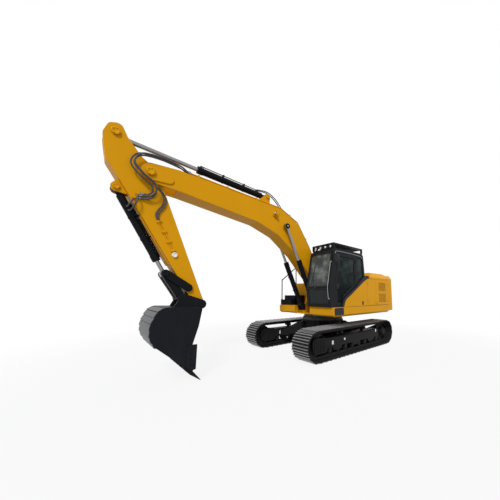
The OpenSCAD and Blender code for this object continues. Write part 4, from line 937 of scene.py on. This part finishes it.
rail = on_front(RAIL_Y, [1.62, 1.625, 1.66, KNEE, 2.20, 2.66, 2.695, 2.70],
                np.array([-0.01, 0.026, 0.034, 0.034, 0.036, 0.036, 0.026, -0.01]))
FOOT = [(0.024, -0.004), (0.024, 0.006), (0.016, 0.012)]
feet = [turned(FOOT, (cab_front(z), RAIL_Y, z), (1, 0, 0), 16) for z in (1.62, 2.70)]
piece("front_grab_rail", [tube(smooth_line(rail, 6), 0.011, 12)] + feet, PIN_STEEL, "upper")
drip_x = np.array([0.90, 0.885, 0.80, 0.40, 0.0, -0.40, -0.50, -0.54])
drip_z = CAB_TOP - np.array([0.13, 0.075, 0.045, 0.04, 0.045, 0.065, 0.085, 0.13])
drip = np.column_stack([drip_x, np.full(8, 1.326), drip_z])
piece("drip_rail", tube(smooth_line(drip, 6), 0.011, 8), PIN_STEEL, "upper")
piece("cab_door_handle", [tablet(on_ground, 0.805, 1.99, 0.10, 0.16, 1.3202, 1.327, 0.03),
                          tablet(on_ground, 0.790, 1.99, 0.034, 0.13, 1.326, 1.345, 0.015)], PLASTIC, "cab_door")

MIRROR = (1.435, 2.800)
STALK = [(0.955, 1.300, 2.885), (0.958, 1.345, 2.925), (0.962, 1.400, 2.935), (0.964, 1.430, 2.915),
         (0.964, 1.435, 2.860)]
piece("mirror_housing", [tablet(facing_front, *MIRROR, 0.180, 0.250, 0.945, 0.985, 0.07, 0.014),
                         tube(smooth_line(STALK, 5), 0.012, 10)], PLASTIC, "upper")
piece("mirror_glass", tablet(facing_front, *MIRROR, 0.156, 0.226, 0.9435, 0.9475, 0.07, 0.001), CHROME, "upper")
MONITOR_ARM = [(0.86, 0.56, 2.11), (0.87, 0.54, 2.0), (0.90, 0.49, 1.90), (0.95, 0.43, 1.86)]
screen = tablet(facing_front, 0.56, 2.17, 0.20, 0.15, 0.845, 0.875, 0.02, 0.006)
piece("monitor", [screen, tube(MONITOR_ARM, 0.014, 10)], PLASTIC, "upper")

# %% [markdown]
# ## Operator's seat
# A seat is foam under woven cloth, on a rubber bellows that hides its spring. Foam pushes the cloth out in the
# middle and the seams pull it in. The form could be drawn by formula alone, but cloth knows better how it crowns:
# each cushion starts a little small, gets an even skin, and a cloth with pressure inside swells it. The seams are
# sewn in afterwards.


# %% Seat cushions and bellows
def leaning(lean):
    """The turn that leans a form back about the machine's crosswise axis."""
    c, s = math.cos(lean), math.sin(lean)
    return np.array([[c, 0, -s], [0, 1, 0], [s, 0, c]])


def cushion(centre, half, lean, flat):
    """A superellipsoid that is thin along one axis and leans back by an angle."""
    u = turns(72)[None, :]
    v = np.linspace(-0.497 * np.pi, 0.497 * np.pi, 40)[:, None]
    side, other = (soft(np.cos(v), 0.55) * soft(w, 0.32) for w in (np.cos(u), np.sin(u)))
    thin = soft(np.sin(v), 0.62) + 0 * u
    p = np.stack([side, other, thin] if flat == 2 else [thin, side, other], -1) * half
    return loft(p @ leaning(lean).T + centre)


def swell(obj, cap, voxel=0.006, frames=20):
    """Foam under cloth: an even skin of small squares is blown up by pressure from inside, without gravity, and no
    point moves further than cap."""
    scene = bpy.context.scene
    obj.modifiers.new("skin", "REMESH").voxel_size = voxel
    skin = bpy.data.meshes.new_from_object(obj.evaluated_get(bpy.context.evaluated_depsgraph_get()))
    obj.modifiers.clear()
    obj.data = skin
    cloth = obj.modifiers.new("cloth", "CLOTH")
    cloth.settings.use_pressure, cloth.settings.uniform_pressure_force = True, 4.0
    cloth.settings.effector_weights.gravity = 0.0
    for step in range(1, frames + 1):
        scene.frame_set(step)
    before = points_of(skin)
    move = points_of(obj.evaluated_get(bpy.context.evaluated_depsgraph_get()).data) - before
    obj.modifiers.clear()
    scene.frame_set(1)
    far = np.maximum(np.linalg.norm(move, axis=1, keepdims=True), 1e-9)
    skin.vertices.foreach_set("co", (before + move * np.minimum(1, cap / far)).ravel())
    print("swelled", obj.name, "by", np.minimum(far, cap).mean().round(4), "m on average,", len(before), "points")


def sew(obj, centre, half, lean, flat, seams, deep=0.010):
    """Sewn channels: near each seam the points are pulled towards the cushion's middle by a bell curve."""
    p = (points_of(obj.data) - centre) @ leaning(lean)
    dip = np.sum([np.exp(-((p[:, 1] / half[1] - seam) / 0.06) ** 2) for seam in seams], axis=0)
    p[:, flat] *= 1 - deep / half[flat] * dip
    obj.data.vertices.foreach_set("co", (p @ leaning(lean).T + centre).ravel())


LEAN, SEAT_Y = math.radians(9.5), 0.86
CUSHIONS = {
    "seat_cushion": ((-0.02, SEAT_Y, 1.780), (0.250, 0.240, 0.056), 0.0, 2, (-0.55, 0.55)),
    "seat_back": ((-0.252, SEAT_Y, 2.158), (0.052, 0.230, 0.350), LEAN, 0, (-0.5, 0.5)),
    "seat_headrest": ((-0.322, SEAT_Y, 2.615), (0.038, 0.121, 0.086), LEAN, 0, ()),
}
for name, (centre, half, lean, flat, seams) in CUSHIONS.items():
    pad = piece(name, cushion(centre, half, lean, flat), CLOTH, "upper", ["seat"], 60)
    swell(pad, 0.010)
    if seams:
        sew(pad, centre, half, lean, flat, seams)
    pad.data.shade_smooth()
turn = turns(48)
corner = np.stack([soft(np.cos(turn), 0.35), soft(np.sin(turn), 0.35)], -1)
folds = np.linspace(0, 1, 25)[:, None, None]
width = 0.94 + 0.06 * np.cos(folds * 12 * np.pi)
rings = np.concatenate([corner[None] * width * (0.195, 0.20) + (-0.05, SEAT_Y),
                        np.broadcast_to(1.4285 + folds * 0.285, (25, 48, 1))], -1)
stays = [tube([(-0.27, SEAT_Y + e, 2.45), (-0.335, SEAT_Y + e, 2.60)], 0.009, 10) for e in (-0.06, 0.06)]
piece("seat_bellows", [loft(rings)] + stays, RUBBER, "upper", ["seat"])

# %% [markdown]
# ## Covers, louvres and trim
# The left rear door breathes through two groups of pressed louvres. Each has a small hood over its slot, pushed out
# of the sheet. One hood is drawn and placed sixteen times. A black trim band follows the cover's sloping edge under
# the cab.

# %% Louvre hoods, trim band, seams and latches
DOOR_SLOTS = [(0, COVER_FACE, 1.480 + (10 * group + k) * 0.04) for group in (0, 1) for k in range(8)]
HOOD = np.array([(0, 0.0235), (0.0048, 0.0205), (0.0088, 0.0130), (0.0073, 0.0120), (0.0033, 0.0185), (0, 0.0205)])
ends_x, squeeze = np.array([(-2.087, 0.15), (-2.080, 1.0), (-1.561, 1.0), (-1.554, 0.15)]).T[:, :, None]
one_hood = loft(np.stack(np.broadcast_arrays(ends_x, HOOD[:, 0] * squeeze, HOOD[:, 1]), -1))
piece("louvre_hoods", at_spots(one_hood, DOOR_SLOTS), YELLOW, "left_door_rear")
piece("louvre_screen", [tablet(on_ground, -1.8205, z, 0.56, 0.34, 1.3195, 1.3255, 0.02) for z in (1.63, 2.03)],
      PLASTIC, "left_door_rear")


def ribbon(line, wide, low, high):
    """A flat band of given widths that keeps to the right of a line in a side view: four corners to each ring."""
    along = unit(np.gradient(line, axis=0))
    inner = line + np.stack([along[:, 1], -along[:, 0]], -1) * wide[:, None]
    corners = [(line, low), (line, high), (inner, high), (inner, low)]
    return loft(np.stack([on_ground(*c.T, h) for c, h in corners], 1))


edge_line = smooth_line([(0.575, 1.372), (0.556, 1.43), (0.470, 1.585), (0.20, 1.743), (-0.20, 1.978), (-0.56, 2.185),
                         (-0.66, 2.234), (-0.783, 2.286)], 5)[::-1]
band = np.interp(edge_line[:, 0], [-0.783, -0.60, -0.45, -0.26, -0.20, -0.06, 0.0, 0.6],
                 [0.115, 0.105, 0.075, 0.060, 0.040, 0.040, 0.052, 0.052])
lip = edge_line - np.array([0.5, 0.86]) * 0.010
piece("cover_trim", [ribbon(lip, -band - 0.010, COVER_FACE, 1.3665),
                     ribbon(edge_line, 0.003 - band, 1.3270, COVER_FACE + 0.0002)], PLASTIC, "upper")
piece("deck_trim", [tablet(on_ground, 0.805, 1.250, 0.44, 0.21, COVER_FACE, 1.3650, 0.02),
                    tablet(on_ground, -0.846, 1.371, 2.832, 0.010, COVER_FACE, 1.3625, 0.004, 0.001)], PLASTIC, "upper")
APRON = [(-0.700, 2.255), (-0.700, 2.330), (-0.760, 2.372), (-0.980, 2.400), (-0.980, 2.296), (-0.790, 2.296)]
piece("cab_apron", plate(APRON, on_ground, 1.255, 1.318, 0.008), RUBBER, "upper")


def latch_at(x, z, out):
    """A recessed paddle latch: a rounded surround with a raised lever and a round lock."""
    surround, lever = (sorted(out * y for y in layer) for layer in ((COVER_FACE, 1.3660), (1.3655, 1.3740)))
    return joined(tablet(on_ground, x, z, 0.085, 0.125, *surround, 0.02),
                  tablet(on_ground, x, z + 0.012, 0.05, 0.07, *lever),
                  disc(on_ground, x, z - 0.044, out * 1.3655, out, 0.012, 0.006, 14))


piece("left_front_latch", latch_at(-1.27, 1.47, 1), YELLOW, "left_door_front")
piece("left_rear_latch", latch_at(-1.41, 1.47, 1), YELLOW, "left_door_rear")
piece("right_latch", latch_at(-1.20, 1.47, -1), YELLOW, "right_door")
piece("cover_latch", latch_at(-0.47, 1.467, 1), PLASTIC, "upper")

# %% [markdown]
# ## Top of the machine
# Filler caps, lifting plugs, a vent in the engine lid and ribs on the step box are what a look from above shows.

# %% Caps, plugs, vent and step
UP = (0, 0, 1)
FILLER = [(0.075, 0), (0.075, 0.012), (0.056, 0.014), (0.056, 0.042), (0.050, 0.052), (0.018, 0.054), (0.018, 0.062),
          (0.004, 0.062)]
fillers = [turned(FILLER, (x, -0.86, z), UP) for x, z in ((-0.10, 2.2302), (-0.57, 2.3302))]
piece("filler_caps", fillers, PLASTIC, "upper")
PLUG = [(0.062, 0), (0.062, 0.008), (0.040, 0.010), (0.034, 0.022), (0.012, 0.022), (0.010, 0.014), (0.002, 0.014)]
piece("lifting_plugs", [turned(PLUG, (-2.48, s * 0.70, 2.4852), UP) for s in (1, -1)], PIN_STEEL, "upper")
vents = [tablet(facing_up, x, 0.0, 0.030, 0.90, 2.5302, 2.5420) for x in np.arange(-1.90, -1.44, 0.055)]
piece("lid_vent", vents, PLASTIC, "hood")
ribs = [tablet(facing_front, y, 1.475, 0.026, 0.17, 0.8502, 0.862, 0.01) for y in np.linspace(-1.30, -0.82, 9)]
piece("step_ribs", ribs, CHARCOAL, "upper")

# %% [markdown]
# ## Bucket wear strips and bolts
# The bucket's curved back is faced with wedge-shaped strips that take the wear, and its side cutters are bolted on.
# The strips follow the back's real curve, which is read from the bucket's own side, so each lies on the plate.


# %% Bucket
def bucket_back():
    """The outer curve of the bucket's side from its top to its lip: the side face's own points, ordered by angle."""
    v = points_of(cad_nodes["bucket"].data)
    v = v[v[:, 1] > 0.5995][:, [0, 2]] - BUCKET_PIN
    c, s = math.cos(math.radians(BUCKET_TURN)), math.sin(math.radians(BUCKET_TURN))
    local = np.stack([v[:, 0] * c + v[:, 1] * s, -v[:, 0] * s + v[:, 1] * c], -1)
    local = np.unique(np.round(local, 5), axis=0)
    turn = np.arctan2(local[:, 1] - 0.55, local[:, 0] - 0.55)
    order = np.argsort(-turn)
    local, turn = local[order], turn[order]
    return local[(turn < 2.75) & (turn > -0.38)]


back = bucket_back()
gone = np.concatenate([[0], np.cumsum(np.linalg.norm(np.diff(back, axis=0), axis=1))])


def on_back(s, lift, step=0.004):
    """A point at a distance along the bucket's back and a height off it, square to a short step ahead."""
    here, there = (np.stack([np.interp(d, gone, back[:, k]) for k in (0, 1)], -1) for d in (s, s + step))
    along = unit(there - here)
    return here + np.stack([-along[:, 1], along[:, 0]], -1) * lift[:, None]


strips = []
for start in np.arange(0.06, 0.98, 0.115):
    low = on_back(start + np.linspace(0.0, 0.105, 6), np.full(6, 0.0005))
    top = on_back(start + np.linspace(0.105, 0.0, 6), np.linspace(0.022, 0.008, 6))
    strips.append(plate(np.concatenate([low, top]), on_bucket, -0.585, 0.585, 0.002))
piece("bucket_wear_strips", strips, WEAR_STEEL, "bucket")
CUTTER = np.array([(0.86, 0.25), (0.96, 0.25), (1.06, 0.25), (1.16, 0.24), (0.86, 0.19), (1.18, 0.18)])
piece("cutter_bolts", [bolts(on_bucket(*CUTTER.T, s * 0.6202), (0, s, 0), 0.016, 0.014) for s in (1, -1)],
      CHARCOAL, "bucket", slot="bucket_steel")

# %% [markdown]
# ## Light and floor
# The photograph's backdrop is white, so the floor and the world are white to the camera, while
# the light on the machine stays at a plain level: a grey sky all round and one broad sun from the front left.

# %% Floor, world and sun
WHITE = (1, 1, 1, 1)
world = bpy.data.worlds.new("studio")
bpy.context.scene.world = world
world.use_nodes = True
studio = Graph(world.node_tree)
sky = studio.tree.nodes["Background"]
sky.inputs["Color"].default_value = (0.94, 0.97, 1.0, 1)
sky.inputs["Strength"].default_value = 0.55
backdrop = studio.add("Background", None, {"Color": WHITE})
both = studio.add("MixShader", None, {0: studio.seen(), 1: Socket(studio, sky.outputs[0]), 2: backdrop})
studio.join(both, studio.tree.nodes["World Output"].inputs[0])

sun = bpy.data.objects.new("sun", bpy.data.lights.new("sun", "SUN"))
sun.data.energy, sun.data.angle = 2.6, math.radians(14)
sun.rotation_euler = Vector((0.66, 0.60, 0.90)).to_track_quat("Z", "Y").to_euler()
bpy.context.collection.objects.link(sun)

turn = turns(64)
reach = np.array([0.01, 8.0, 30.0, 120.0])[:, None]
rim = np.stack([reach * np.cos(turn) + 1.0, reach * np.sin(turn), np.full((4, 64), -0.001)], -1)
floor_mesh = bpy.data.meshes.new("floor")
floor_mesh.from_pydata(rim.reshape(-1, 3).tolist(), [], grid_faces(4, 64).tolist())
floor = bpy.data.objects.new("floor", floor_mesh)
bpy.context.collection.objects.link(floor)
paper = Finish("studio_floor", Roughness=0.9, Specular_IOR_Level=0.0)
floor_mesh.materials.append(paper.show(paper.mix(paper.noise(0.4), (0.46, 0.46, 0.46, 1), (0.50, 0.50, 0.50, 1))))
glow = paper.add("Emission", None, {"Color": WHITE, "Strength": 1.0})
ahead, beside = paper.along("X") - 1.0, paper.along("Y")
far = ahead * ahead + beside * beside
share = paper.seen() * (far.step(16.0, 100.0) * 0.12 + 0.88)
both = paper.add("MixShader", None, {0: share, 1: Socket(paper, paper.shader.outputs[0]), 2: glow})
paper.join(both, paper.tree.nodes["Material Output"].inputs["Surface"])
floor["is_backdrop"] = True
bpy.context.scene.view_settings.view_transform = "Standard"

# %% Close
low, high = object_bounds()
